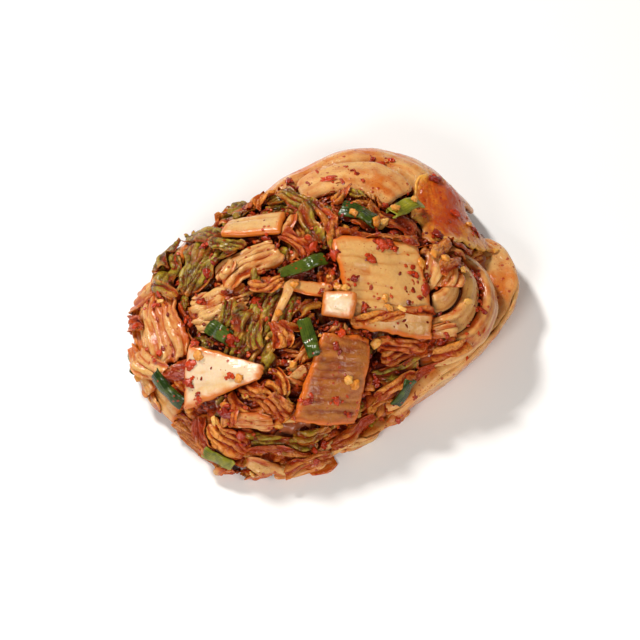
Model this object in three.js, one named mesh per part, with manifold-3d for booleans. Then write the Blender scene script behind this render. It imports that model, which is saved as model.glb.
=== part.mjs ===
// A heap of cut napa cabbage kimchi, lying as it falls from the jar: ridged stem slices, crumpled
// leaf bundles, nested stem ends and outer leaves over a core of fine cuts, in millimetres, +Z up.
// The origin is on the flat underside, in the middle of the heap's oval footprint.
import * as THREE from "three";
import { mergeVertices } from "three/addons/utils/BufferGeometryUtils.js";
import Module from "manifold-3d";

const wasm = await Module();
wasm.setup();

// ---------------------------------------------------------------- driving dimensions
const HEAP = {
  halfLength: 76, // of the oval footprint
  halfWidth: 56,
  turn: 37, // degrees from +X to the long axis
  height: 46,
  squareness: 2.8, // exponent of the oval: 2 is an ellipse
  shoulder: 2.6, // the higher, the further out the top stays level
  steepness: 0.62, // the lower, the steeper the sides
};
const CORE_DEPTH = 5.2; // how far the core stays under the heap's outer surface
const WALL_GAP = 2.6; // from the middle of a standing outer leaf to the core behind it
const CLEARANCE = 0.5; // left between two pieces that touch
const FINE_DETAIL = 0.15; // how far merging small triangles may move a piece's surface
const CORE_DETAIL = 0.42; // the same, of the core
const CORE_LUMPS = 10; // of garlic and pepper paste
const CORE_CUTS = 52; // places for small cuts of leaf, most of them under other pieces
const MOST_COVERED = 0.08; // share of a small cut that other pieces may cover
const GOLDEN_ANGLE = Math.PI * (3 - Math.sqrt(5)); // between one cut on the core and the next
const MERGE_DISTANCE = 1e-3; // vertices closer than this are one
const GROUND_GAP = 0.2; // from the ground to the middle of a leaf that stands or lies on it
const FLOOR_BOX = 400; // side of the block that keeps every piece above the ground

const COLOUR = {
  core: 0x9a3b16,
  stem: 0xdca763,
  whiteStem: 0xefdcb4,
  leaf: 0xc8763a,
  greenLeaf: 0x7d7a2c,
  outerLeaf: 0xdf9a55,
  onion: 0x2f5a1e,
};

// ---------------------------------------------------------------- the heap's outer surface
const radians = THREE.MathUtils.degToRad;
const lerp = THREE.MathUtils.lerp;

/** Distance from the middle to the footprint's edge, in a direction given in radians. */
function footprintRadius(angle) {
  const along = Math.abs(Math.cos(angle - radians(HEAP.turn)) / HEAP.halfLength);
  const across = Math.abs(Math.sin(angle - radians(HEAP.turn)) / HEAP.halfWidth);
  const n = HEAP.squareness;
  return (along ** n + across ** n) ** (-1 / n);
}

/** Height of the smooth dome over a point whose share of the footprint's radius is given. */
function domeHeight(share) {
  return HEAP.height * Math.max(0, 1 - share ** HEAP.shoulder) ** HEAP.steepness;
}

/** Height of the heap's outer surface over a point of the ground. */
function heapHeight(x, y) {
  return domeHeight(Math.hypot(x, y) / footprintRadius(Math.atan2(y, x)));
}

/** The outward normal of the heap's outer surface. */
function heapNormal(x, y) {
  const step = 1.5;
  const slopeX = (heapHeight(x + step, y) - heapHeight(x - step, y)) / (2 * step);
  const slopeY = (heapHeight(x, y + step) - heapHeight(x, y - step)) / (2 * step);
  return new THREE.Vector3(-slopeX, -slopeY, 1).normalize();
}

// ---------------------------------------------------------------- solids
/** A manifold solid from a closed geometry whose shared vertices are not yet merged. */
function solidOf(geometry) {
  const bare = new THREE.BufferGeometry();
  bare.setAttribute("position", geometry.getAttribute("position"));
  bare.setIndex(geometry.index);
  const merged = mergeVertices(bare, MERGE_DISTANCE);
  const triVerts = new Uint32Array(merged.index.array);
  const vertProperties = new Float32Array(merged.attributes.position.array);
  const made = new wasm.Manifold(new wasm.Mesh({ numProp: 3, vertProperties, triVerts }));
  if (made.volume() > 0) return made;
  for (let i = 0; i < triVerts.length; i += 3) {
    [triVerts[i + 1], triVerts[i + 2]] = [triVerts[i + 2], triVerts[i + 1]];
  }
  return new wasm.Manifold(new wasm.Mesh({ numProp: 3, vertProperties, triVerts }));
}

/** The geometry of a manifold solid. */
function geometryOf(solid) {
  const mesh = solid.getMesh();
  const positions = new Float32Array(mesh.numVert * 3);
  for (let i = 0; i < mesh.numVert; i++) {
    for (let k = 0; k < 3; k++) positions[3 * i + k] = mesh.vertProperties[mesh.numProp * i + k];
  }
  return new THREE.BufferGeometry()
    .setAttribute("position", new THREE.BufferAttribute(positions, 3))
    .setIndex(new THREE.BufferAttribute(mesh.triVerts, 1));
}

/** The largest of the bodies that a cut leaves. */
function largestBody(solid) {
  return solid.decompose().reduce((a, b) => (a.volume() > b.volume() ? a : b));
}

/**
 * A closed sheet: surface(s, t) gives its middle face over s and t from -1 to 1, and thickness(s, t)
 * its thickness. Both faces are split into triangles alike. grow thickens it all round.
 */
function sheet({ surface, thickness, cells }, grow = 0) {
  const [columns, rows] = cells;
  const grid = new THREE.PlaneGeometry(2, 2, columns, rows);
  const flat = grid.attributes.position;
  const count = flat.count;
  const points = new Float32Array(count * 6);
  const onEdge = (value) => (Math.abs(value) > 0.999 ? Math.sign(value) : 0);
  for (let i = 0; i < count; i++) {
    const s = flat.getX(i);
    const t = flat.getY(i);
    const middle = surface(s, t);
    const alongS = surface(s + 0.02, t).sub(middle).normalize();
    const alongT = surface(s, t + 0.02).sub(middle).normalize();
    middle.addScaledVector(alongS, grow * onEdge(s)).addScaledVector(alongT, grow * onEdge(t));
    const half = alongS.cross(alongT).normalize().multiplyScalar(thickness(s, t) / 2 + grow);
    middle.clone().add(half).toArray(points, 3 * i);
    middle.clone().sub(half).toArray(points, 3 * (i + count));
  }
  const faces = [];
  const top = grid.index.array;
  for (let i = 0; i < top.length; i += 3) {
    faces.push(top[i], top[i + 1], top[i + 2]);
    faces.push(top[i] + count, top[i + 2] + count, top[i + 1] + count);
  }
  const rim = [];
  for (let i = 0; i < columns; i++) rim.push(i);
  for (let i = 0; i < rows; i++) rim.push(i * (columns + 1) + columns);
  for (let i = columns; i > 0; i--) rim.push(rows * (columns + 1) + i);
  for (let i = rows; i > 0; i--) rim.push(i * (columns + 1));
  rim.forEach((a, i) => {
    const b = rim[(i + 1) % rim.length];
    faces.push(a, b, b + count, a, b + count, a + count);
  });
  const closed = new THREE.BufferGeometry()
    .setAttribute("position", new THREE.BufferAttribute(points, 3))
    .setIndex(faces);
  return solidOf(closed);
}

// ---------------------------------------------------------------- surfaces of pieces
/**
 * A piece that lies on the heap. at is its middle on the ground plan, turn the direction of its
 * length, size its length and width, lift its height over the heap's surface, pitch and roll its
 * tilt, drop how far its ends and its sides bend down, waist its width at either end as a share,
 * slant how far its far end is pushed aside, pleats the number and height of its folds.
 */
function patch({
  at,
  turn,
  size,
  lift = 0,
  pitch = 0,
  roll = 0,
  drop = [0, 0],
  waist = [1, 1],
  slant = 0,
  pleats = [0, 0],
  thick = 3,
  rim = 0.6,
  cells = [4, 5],
}) {
  const normal = heapNormal(at[0], at[1]);
  const base = new THREE.Vector3(at[0], at[1], heapHeight(at[0], at[1]));
  const along = new THREE.Vector3(Math.cos(radians(turn)), Math.sin(radians(turn)), 0);
  along.addScaledVector(normal, -along.dot(normal)).normalize();
  const across = normal.clone().cross(along);
  along.applyAxisAngle(across, -radians(pitch));
  normal.applyAxisAngle(across, -radians(pitch));
  across.applyAxisAngle(along, radians(roll));
  normal.applyAxisAngle(along, radians(roll));
  base.addScaledVector(normal, lift);
  const [length, width] = size;
  const [folds, depth] = pleats;
  const surface = (s, t) => {
    const share = (s + 1) / 2;
    const half = (width / 2) * lerp(waist[0], waist[1], share);
    const fold = depth * Math.cos(Math.PI * folds * t + 1.3 * s) * lerp(0.45, 1, share);
    const rise = fold - drop[0] * s * s - drop[1] * t * t;
    return base
      .clone()
      .addScaledVector(along, (length / 2) * s)
      .addScaledVector(across, half * t + slant * s)
      .addScaledVector(normal, rise);
  };
  const thickness = (s, t) => thick * lerp(1, rim, Math.max(s * s, t * t) ** 2);
  return { surface, thickness, cells };
}

/**
 * A leaf or stem that runs round a centre, like the wall of a bowl: radius(angle) is its unit, and
 * inner and outer give the share of it and the height of its two edges. bulge lifts its middle and
 * wave makes its outer edge uneven.
 */
function band({
  centre = [0, 0],
  radius = footprintRadius,
  from,
  to,
  inner,
  outer,
  fall = [0, 0],
  bulge = 0,
  wave = [0, 0],
  thick = 2.4,
  cells = [10, 2],
}) {
  const surface = (s, t) => {
    const angle = radians(lerp(from, to, (s + 1) / 2));
    const side = (t + 1) / 2;
    const swing = wave[1] * Math.sin(wave[0] * Math.PI * s + 0.7) * side;
    const reach = lerp(inner[0], outer[0], side) * radius(angle) + 0.6 * swing;
    const height = lerp(inner[1] - fall[0] * s * s, outer[1] - fall[1] * s * s, side);
    return new THREE.Vector3(
      centre[0] + reach * Math.cos(angle),
      centre[1] + reach * Math.sin(angle),
      Math.max(GROUND_GAP, height + bulge * (1 - t * t) + swing),
    );
  };
  const thickness = (s, t) => thick * lerp(1, 0.6, s ** 4) * lerp(1.15, 0.85, (t + 1) / 2);
  return { surface, thickness, cells };
}

/** A piece of spring onion leaf: a flattened tube, bent a little, that lies on the heap. */
function onionLeaf({ at, turn, length, width, lift = 0, bow = 1.2 }, grow = 0) {
  const spine = patch({ at, turn, size: [length + 2 * grow, width], lift, drop: [bow, 0] }).surface;
  const path = new THREE.CatmullRomCurve3([-1, -0.35, 0.35, 1].map((s) => spine(s, 0)));
  const section = new THREE.Shape(
    new THREE.EllipseCurve(0, 0, width * 0.36 + grow, width / 2 + grow).getPoints(8).slice(0, 8),
  );
  return solidOf(new THREE.ExtrudeGeometry(section, { steps: 5, extrudePath: path }));
}

// ---------------------------------------------------------------- the pieces, the topmost first
const STEM_SLICES = {
  stem_slice_large: {
    at: [23, -12], turn: 11, size: [33, 40], lift: 4.4, roll: 5, drop: [1.6, 2.6],
    waist: [0.9, 1], slant: -4, thick: 3.8,
  },
  stem_slice_front: {
    at: [5, -46], turn: -84, size: [35, 27], lift: 3.2, drop: [2.6, 2], waist: [0.72, 1],
    slant: -2, thick: 3.6,
  },
  stem_slice_white: {
    at: [-36, -44], turn: -7, size: [32, 27], lift: 3.6, drop: [1.4, 1], waist: [1, 0.16],
    slant: 3, thick: 4.4, rim: 0.85,
  },
  stem_slice_back: {
    at: [-25, 15], turn: -12, size: [23, 13], lift: 2.4, drop: [0.8, 0.5], waist: [0.8, 1], slant: 1,
    thick: 3.2,
  },
  stem_chunk: {
    at: [6, -22], turn: -8, size: [12, 9], lift: 3, drop: [0.2, 1.6], thick: 5, rim: 0.9,
    cells: [4, 5],
  },
  stem_slice_low_left: {
    at: [-59, -43], turn: -52, size: [17, 14], lift: 1.2, drop: [1, 1], waist: [1, 0.8], thick: 3,
  },
  stem_slice_rear_left: {
    at: [-57, 17], turn: 100, size: [22, 20], lift: 1.2, drop: [1.6, 1.6], waist: [1, 0.7], thick: 3.4,
  },
};

const ONION_LEAVES = {
  onion_leaf_top: { at: [14, 18], turn: -22, length: 14, width: 7, lift: 3 },
  onion_stalk_top: { at: [32, 24], turn: 38, length: 16, width: 5.4, lift: 4 },
  onion_leaf_middle: { at: [-7, -6], turn: 27, length: 19, width: 5, lift: 3.4 },
  onion_leaf_centre: { at: [-5, -34], turn: -72, length: 15, width: 5, lift: 3 },
  onion_leaf_left: { at: [-38, -29], turn: -35, length: 11, width: 5.6, lift: 4.2 },
  onion_leaf_low_left: { at: [-54, -42], turn: -65, length: 15, width: 5.6, lift: 2.2 },
  onion_tip_left: { at: [-70.6, -25.4], turn: -40, length: 10, width: 4, lift: 0.6 },
  onion_leaf_low: { at: [-37, -65], turn: -52, length: 12, width: 5, lift: 1.6 },
  onion_leaf_right: { at: [29, -42], turn: -75, length: 11, width: 5, lift: 2 },
};

const LEAF_BUNDLES = {
  draped_leaf: {
    at: [49, 30], turn: -69, size: [29, 40], lift: 3.4, drop: [2.6, 6], waist: [0.45, 1],
    thick: 2.4, cells: [6, 7], colour: COLOUR.outerLeaf,
  },
  green_bundle_left: {
    at: [-46, 3], turn: 60, size: [28, 30], lift: 2.8, drop: [3, 4], waist: [0.35, 1],
    pleats: [4.5, 1.5], thick: 2, cells: [6, 9], colour: COLOUR.greenLeaf,
  },
  folded_stem_left: {
    at: [-27, -3], turn: 30, size: [26, 13], lift: 2.6, drop: [1.4, 2.2], pleats: [2.4, 1.3],
    thick: 2.4, colour: COLOUR.stem,
  },
  flat_strip_middle: {
    at: [-12, -13], turn: -11, size: [32, 7], lift: 2.2, drop: [1, 0.3], waist: [0.7, 1], thick: 2,
    cells: [7, 2], colour: COLOUR.stem,
  },
  rib_fan_left: {
    at: [-60, -20], turn: -76, size: [34, 23], lift: 1.6, drop: [3.4, 2], waist: [0.6, 1],
    pleats: [3, 1.3], thick: 2.4, colour: COLOUR.stem,
  },
  wrinkled_leaf_left: {
    at: [-39, -18], turn: 15, size: [23, 15], lift: 1.4, drop: [1, 1.4], pleats: [2.5, 1.2], thick: 2,
    colour: COLOUR.leaf,
  },
  green_leaf_centre: {
    at: [-23, -29], turn: 56, size: [36, 18], lift: 1.6, drop: [1.6, 1.4], pleats: [3, 1.4], thick: 2,
    colour: COLOUR.greenLeaf,
  },
  ribbed_leaf_back: {
    at: [15, 30], turn: 88, size: [14, 14], lift: 2.4, drop: [1, 1], waist: [0.6, 1],
    pleats: [3, 1.1], thick: 1.9, colour: COLOUR.leaf,
  },
  green_leaf_back: {
    at: [-12, 26], turn: -12, size: [20, 12], lift: 2, drop: [1.2, 1.6], pleats: [2.5, 1.3],
    thick: 1.9, colour: COLOUR.greenLeaf,
  },
  green_leaf_middle: {
    at: [-3, 11], turn: -62, size: [19, 14], lift: 1.4, drop: [1, 1], pleats: [2.5, 1.3], thick: 1.9,
    colour: COLOUR.greenLeaf,
  },
  curled_leaf_right: {
    at: [44, 0], turn: 80, size: [19, 13], lift: 0.5, drop: [1.2, 2.2], pleats: [2, 1.4], thick: 2,
    colour: COLOUR.leaf,
  },
  leaf_under_slice: {
    at: [34, -29], turn: 18, size: [27, 10], lift: 1.6, drop: [1, 1], pleats: [2, 1.2], thick: 2,
    colour: COLOUR.leaf,
  },
  pleated_leaf_front: {
    at: [-24, -56], turn: 20, size: [25, 17], lift: 2.4, drop: [1.6, 1.6], waist: [0.6, 1],
    pleats: [3, 1.4], thick: 2, colour: COLOUR.leaf,
  },
  curled_leaf_front: {
    at: [-31, -64], turn: -24, size: [20, 12], lift: 1, drop: [1.4, 1.6], pleats: [2, 1.3],
    thick: 2, colour: COLOUR.leaf,
  },
  rib_leaf_front: {
    at: [-46, -60], turn: -62, size: [27, 13], lift: 1, drop: [1.4, 1], pleats: [2.5, 1.1], thick: 2,
    colour: COLOUR.leaf,
  },
  leaf_rear_left: {
    at: [-39, 31], turn: 30, size: [26, 14], lift: 0.8, drop: [2, 2], pleats: [2.5, 1.4], thick: 2,
    colour: COLOUR.leaf,
  },
};

const STEM_CENTRE = [41, -7]; // the nested stem ends curve round this point
const inMillimetres = () => 1;
const NESTED_STEMS = {
  stem_arc_inner: {
    centre: STEM_CENTRE, radius: inMillimetres, from: 72, to: -84, inner: [6.5, 35.5], outer: [11.5, 40],
    thick: 3, cells: [9, 2],
  },
  stem_arc_middle: {
    centre: STEM_CENTRE, radius: inMillimetres, from: 66, to: -92, inner: [12, 31], outer: [17.5, 36],
    fall: [0, 2], thick: 3, cells: [10, 2],
  },
  stem_arc_outer: {
    centre: STEM_CENTRE, radius: inMillimetres, from: 60, to: -100, inner: [18, 24.5],
    outer: [24.5, 31], fall: [2, 5], thick: 3.2, cells: [10, 2],
  },
};

// A standing leaf: the inner edge is on the ground and the outer edge is the free rim.
const WALL_LEAVES = {
  outer_leaf_right: {
    from: 26, to: -62, inner: [0.9, GROUND_GAP], outer: [1.01, 18], fall: [0, 9], bulge: -2, wave: [3, 0.7],
    thick: 2.8, cells: [11, 3],
  },
};

// The back leaf comes up from the ground and closes over the heap, and the next one lies on its edge.
const OUTER_LEAVES = {
  outer_leaf_back: {
    from: 43, to: 127, inner: [1.0, GROUND_GAP], outer: [0.66, 33], fall: [0, 5], bulge: 13, wave: [3, 0.5],
    thick: 2.8, cells: [11, 5],
  },
  inner_leaf_back: {
    from: 46, to: 104, inner: [0.52, 40.6], outer: [0.69, 38], fall: [1, 2.5], bulge: 0.8, thick: 2.6,
  },
  outer_leaf_low_right: {
    from: -52, to: -84, inner: [0.8, 3], outer: [1.02, 6.4], fall: [0.6, 2], wave: [2, 0.6],
    thick: 2.6, cells: [8, 3],
  },
  outer_leaf_low_front: {
    from: -88, to: -104, inner: [0.84, 2.6], outer: [1.06, 4.4], wave: [2, 0.5], thick: 2.4,
    cells: [6, 3],
  },
};

const LAYERS = {
  leaf_layer_1: { from: -34, to: -76, inner: [0.66, 25.5], outer: [0.84, 23], wave: [4, 0.8] },
  leaf_layer_2: { from: -38, to: -90, inner: [0.7, 20.5], outer: [0.9, 17.5], wave: [5, 0.8] },
  leaf_layer_3: { from: -42, to: -106, inner: [0.74, 14.5], outer: [0.95, 11.5], wave: [6, 0.8] },
  leaf_layer_4: { from: -92, to: -124, inner: [0.8, 9], outer: [1.0, 6.5], wave: [4, 0.7] },
};

// ---------------------------------------------------------------- the core and what is fused to it
let seed = 20417;
/** The next number of a fixed sequence, from 0 to 1. */
function random() {
  seed = (seed * 1103515245 + 12345) % 2147483648;
  return seed / 2147483648;
}
const between = (low, high) => lerp(low, high, random());

/** How far the core's folds stand out of its dome, at a point of its surface. */
function foldRelief(x, y, z) {
  const slow = Math.sin(0.19 * x + 0.11 * y + 1.1) * Math.sin(0.16 * y - 0.09 * z);
  const quick = Math.sin(0.42 * x - 0.31 * y + 2) * Math.sin(0.37 * z + 0.29 * x);
  return 1.1 * slow + 0.9 * quick;
}

/** How far from the middle the core may reach at an angle and a height, inside the standing leaves. */
function coreReach(angle, height) {
  const reaches = Object.values(WALL_LEAVES).map(({ from, to, inner, outer, fall }) => {
    const turned = THREE.MathUtils.euclideanModulo(angle - radians(Math.min(from, to)), 2 * Math.PI);
    const s = (2 * turned) / radians(Math.abs(to - from)) - 1;
    const rim = outer[1] - fall[1] * s * s;
    if (s > 1.1 || height > rim) return Infinity;
    return lerp(inner[0], outer[0], height / rim) * footprintRadius(angle) - WALL_GAP;
  });
  return Math.min(...reaches);
}

/** The core: a dome turned on a lathe, drawn out to the oval footprint, with folds in its surface. */
function coreDome() {
  const rings = 11;
  const sectors = 40;
  const profile = [new THREE.Vector2(0, 0), new THREE.Vector2(0.5, 0)];
  for (let i = 0; i <= rings; i++) {
    const share = Math.cos((i / rings) * (Math.PI / 2)) ** 0.8;
    profile.push(new THREE.Vector2(i === rings ? 0 : share, domeHeight(i === rings ? 0 : share)));
  }
  const dome = new THREE.LatheGeometry(profile, sectors).rotateX(Math.PI / 2);
  const place = dome.attributes.position;
  for (let i = 0; i < place.count; i++) {
    const share = Math.hypot(place.getX(i), place.getY(i));
    const angle = Math.atan2(place.getY(i), place.getX(i));
    const height = place.getZ(i);
    const radius = share * footprintRadius(angle);
    const relief = foldRelief(radius * Math.cos(angle), radius * Math.sin(angle), height);
    const inset = (CORE_DEPTH - relief) * share ** 3;
    const lowered = height > 0 ? Math.max(0.5, height - (CORE_DEPTH - relief) * (1 - share ** 6)) : 0;
    const reach = Math.max(0, Math.min(radius - inset, coreReach(angle, lowered)));
    place.setXYZ(i, reach * Math.cos(angle), reach * Math.sin(angle), lowered);
  }
  return solidOf(dome);
}

/** A lump of garlic or pepper paste, half sunk in the core. */
function lump() {
  const angle = between(0, 2 * Math.PI);
  const reach = Math.sqrt(between(0, 0.9)) * footprintRadius(angle);
  const x = reach * Math.cos(angle);
  const y = reach * Math.sin(angle);
  const place = new THREE.Vector3(x, y, heapHeight(x, y));
  place.addScaledVector(heapNormal(x, y), -CORE_DEPTH + 0.4);
  const stone = new THREE.IcosahedronGeometry(between(1.6, 2.6), 0);
  stone.scale(between(0.8, 1.4), 1, between(0.7, 1));
  stone.rotateZ(between(0, Math.PI)).rotateX(between(0, Math.PI));
  return solidOf(stone.translate(place.x, place.y, Math.max(3, place.z)));
}

/** A small crumpled cut of leaf that lies on the core: the cuts follow one another in a spiral. */
function smallCut(index) {
  const angle = index * GOLDEN_ANGLE;
  const reach = Math.sqrt((index + 0.5) / CORE_CUTS) * 0.94 * footprintRadius(angle);
  const cut = patch({
    at: [reach * Math.cos(angle), reach * Math.sin(angle)],
    turn: between(0, 360),
    size: [between(13, 20), between(7, 12)],
    lift: between(0.4, 1.6) - CORE_DEPTH,
    pitch: between(-14, 14),
    roll: between(-18, 18),
    drop: [between(1.2, 2.6), between(0, 1)],
    waist: [0.6, 1],
    pleats: [1.6, between(0.9, 1.6)],
    thick: 2.2,
    cells: [2, 4],
  });
  return sheet(cut);
}

// ---------------------------------------------------------------- assembly
const kimchi = new THREE.Group();
const taken = []; // each finished piece, thickened by the clearance
const halfFloor = FLOOR_BOX / 2;
const aboveGround = solidOf(
  new THREE.BoxGeometry(FLOOR_BOX, FLOOR_BOX, FLOOR_BOX).translate(0, 0, halfFloor),
);

/** What is left of a solid above the ground, once it is cut clear of the pieces before it. */
function clearOf(solid) {
  const nearby = taken.filter((other) => {
    const a = other.boundingBox();
    const b = solid.boundingBox();
    return [0, 1, 2].every((k) => a.min[k] < b.max[k] && b.min[k] < a.max[k]);
  });
  return nearby.reduce((rest, other) => rest.subtract(other), solid.intersect(aboveGround));
}

/** Adds a piece, cut clear of the pieces before it. */
function place(name, colour, solid, grown, detail = FINE_DETAIL) {
  const trimmed = clearOf(solid);
  const material = new THREE.MeshStandardMaterial({ color: colour, roughness: 0.4, metalness: 0 });
  const simple = largestBody(largestBody(trimmed).simplify(detail));
  const whole = largestBody(solidOf(geometryOf(simple)));
  const mesh = new THREE.Mesh(geometryOf(whole), material);
  mesh.name = name;
  kimchi.add(mesh);
  if (grown) taken.push(grown.add(whole));
}

/** Adds a piece made as a sheet. */
function placeSheet(name, colour, form) {
  place(name, colour, sheet(form), sheet(form, CLEARANCE));
}

for (const [name, size] of Object.entries(ONION_LEAVES)) {
  place(name, COLOUR.onion, onionLeaf(size), onionLeaf(size, CLEARANCE));
}
for (const [name, size] of Object.entries(STEM_SLICES)) {
  const colour = name.endsWith("white") ? COLOUR.whiteStem : COLOUR.stem;
  placeSheet(name, colour, patch(size));
}
for (const [name, size] of Object.entries(LEAF_BUNDLES)) {
  placeSheet(name, size.colour, patch({ cells: [3, 8], ...size }));
}
for (const [name, size] of Object.entries(NESTED_STEMS)) {
  placeSheet(name, COLOUR.stem, band(size));
}
for (const [name, size] of Object.entries(LAYERS)) {
  placeSheet(name, COLOUR.leaf, band({ thick: 2, cells: [10, 1], ...size }));
}
for (const [name, size] of Object.entries({ ...WALL_LEAVES, ...OUTER_LEAVES })) {
  placeSheet(name, COLOUR.outerLeaf, band(size));
}

let core = coreDome();
for (let i = 0; i < CORE_LUMPS; i++) core = core.add(lump());
for (let i = 0; i < CORE_CUTS; i++) {
  const cut = smallCut(i);
  const raised = cut.translate([0, 0, CORE_DEPTH]);
  if (clearOf(raised).volume() > (1 - MOST_COVERED) * cut.volume()) core = core.add(cut);
}
place("heap_core", COLOUR.core, core, null, CORE_DETAIL);

export default kimchi;
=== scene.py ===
import logging
import math
from dataclasses import dataclass, field, replace
from enum import Enum
from typing import Iterable

import bpy
import numpy as np
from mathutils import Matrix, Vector


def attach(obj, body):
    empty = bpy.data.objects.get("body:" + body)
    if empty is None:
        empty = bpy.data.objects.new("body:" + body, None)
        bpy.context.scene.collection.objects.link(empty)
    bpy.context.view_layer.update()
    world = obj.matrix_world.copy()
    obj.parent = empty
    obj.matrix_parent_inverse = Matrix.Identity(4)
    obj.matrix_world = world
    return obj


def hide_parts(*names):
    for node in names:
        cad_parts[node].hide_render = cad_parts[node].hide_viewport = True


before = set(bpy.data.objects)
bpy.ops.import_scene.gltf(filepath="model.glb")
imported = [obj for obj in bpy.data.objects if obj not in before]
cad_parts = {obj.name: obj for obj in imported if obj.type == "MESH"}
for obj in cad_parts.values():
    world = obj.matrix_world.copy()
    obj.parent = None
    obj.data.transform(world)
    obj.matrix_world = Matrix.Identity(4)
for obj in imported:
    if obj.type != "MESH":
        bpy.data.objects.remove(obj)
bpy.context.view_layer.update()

log = logging.getLogger("kimchi")
logging.basicConfig(level=logging.INFO, format="%(message)s")

MM = 0.001
OPEN_SKY = 1000.0
GROUND_GAP = 0.2
NOISE_SEED, DRAW_SEED, FOOT_SEED = 41, 2417, 23
GOLDEN_TURN = math.pi * (3 - math.sqrt(5))
Grid = np.ndarray
Colour = tuple[float, float, float]
Cut = tuple[np.ndarray, dict[str, np.ndarray]]
# Degrees round the heap between which the leaves at the right and at the back stand.
RIGHT_LEAVES, BACK_LEAVES = (298, 26), (40, 118)


# Numbers over grids.
def unit(vectors: Grid) -> Grid:
    """The vectors at length 1."""
    return vectors / np.maximum(np.linalg.norm(vectors, axis=-1, keepdims=True), 1e-9)


def mixed(low: float, high: float, share: Grid) -> Grid:
    """The value at a share of the way from low to high."""
    return low + (high - low) * share


def lattice(rows: int, columns: int) -> tuple[Grid, Grid]:
    """s along the columns and t along the rows, both from -1 to 1."""
    return np.meshgrid(np.linspace(-1, 1, columns), np.linspace(-1, 1, rows))


def blunted(s: Grid, t: Grid, ends: float = 0.16, sides: float = 0.1) -> tuple[Grid, Grid]:
    """The lattice with its corners drawn in, so that a piece isn't cut square."""
    return s * (1 - sides * t**4), t * (1 - ends * s**4)


def tilted(first: Grid, second: Grid, degrees: float) -> tuple[Grid, Grid]:
    """Two vectors at right angles, the first turned towards the second and the second with it."""
    cosine, sine = math.cos(math.radians(degrees)), math.sin(math.radians(degrees))
    return first * cosine + second * sine, second * cosine - first * sine


def soften(values: Grid, rows: float, columns: float) -> Grid:
    """A grid blurred by that many cells along its rows and columns.

    Args:
        values: The grid.
        rows: Cells along the rows.
        columns: Cells along the columns.

    Returns:
        The blurred grid.
    """
    for axis, sigma in ((0, rows), (1, columns)):
        if sigma < 0.3:
            continue
        reach = int(min(3 * sigma, 4 * values.shape[axis])) + 1
        taps = np.exp(-0.5 * (np.arange(-reach, reach + 1) / sigma) ** 2)
        taps /= taps.sum()
        pad = [(0, 0)] * values.ndim
        pad[axis] = (reach, reach)
        wide = np.pad(values, pad, mode="edge")
        size = values.shape[axis]
        values = sum(tap * np.take(wide, np.arange(i, i + size), axis=axis) for i, tap in enumerate(taps))
    return values


class Noise:
    """Smooth random relief over space, the same on every run."""

    def __init__(self, seed: int) -> None:
        """Draws the lattice's slopes.

        Args:
            seed: Starts the draws.
        """
        rng = np.random.default_rng(seed)
        self.order = rng.permutation(256)
        self.slopes = unit(rng.normal(size=(256, 3)))

    def __call__(self, points: Grid, scale: float | tuple[float, float, float]) -> Grid:
        """Noise from about -1 to 1.

        Args:
            points: Places, with x, y and z on the last axis.
            scale: Size of one bump, or its size along each axis.

        Returns:
            One value for each point.
        """
        place = points / np.asarray(scale, dtype=float)
        cell = np.floor(place).astype(int)
        inside = place - cell
        fade = inside**3 * (inside * (inside * 6 - 15) + 10)
        total = np.zeros(points.shape[:-1])
        for corner in np.ndindex(2, 2, 2):
            key = (cell + corner) & 255
            mark = self.order[(self.order[(self.order[key[..., 0]] + key[..., 1]) & 255] + key[..., 2]) & 255]
            weight = np.prod(np.where(corner, fade, 1 - fade), axis=-1)
            total += weight * np.sum(self.slopes[mark] * (inside - corner), axis=-1)
        return 1.7 * total

    def puckers(self, points: Grid, scale: float | tuple[float, float, float]) -> Grid:
        """Rounded swellings between sharp creases, from about -1 to 1, as of wrinkled leaf."""
        return 2.6 * np.abs(self(points, scale)) ** 0.8 - 0.9


# The heap and its surface.
@dataclass(frozen=True)
class HeapShape:
    """The smooth outer surface of the heap: a flat-topped dome on an oval footprint."""

    half_length: float = 76.0
    half_width: float = 56.0
    turn: float = 37.0
    height: float = 46.0
    squareness: float = 2.8
    shoulder: float = 2.6
    steepness: float = 0.62

    def footprint(self, angle: Grid) -> Grid:
        """Distance from the middle to the footprint's edge at an angle in radians.

        Args:
            angle: Directions from the middle.

        Returns:
            The distances in millimetres.
        """
        along = np.abs(np.cos(angle - math.radians(self.turn)) / self.half_length)
        across = np.abs(np.sin(angle - math.radians(self.turn)) / self.half_width)
        return (along**self.squareness + across**self.squareness) ** (-1 / self.squareness)

    def dome(self, share: Grid) -> Grid:
        """Height of the dome over a point at that share of the footprint's radius."""
        return self.height * np.maximum(0, 1 - share**self.shoulder) ** self.steepness

    def level(self, x: Grid, y: Grid) -> Grid:
        """Height of the dome over a point of the ground."""
        return self.dome(np.hypot(x, y) / self.footprint(np.arctan2(y, x)))

    def normal(self, x: float, y: float, step: float = 1.5) -> Grid:
        """Outward normal of the dome over a point of the ground.

        Args:
            x: Place to the right.
            y: Place to the back.
            step: How far the slope is measured.

        Returns:
            The unit normal.
        """
        slope_x = (self.level(x + step, y) - self.level(x - step, y)) / (2 * step)
        slope_y = (self.level(x, y + step) - self.level(x, y - step)) / (2 * step)
        return unit(np.array([-slope_x, -slope_y, 1.0]))


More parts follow.
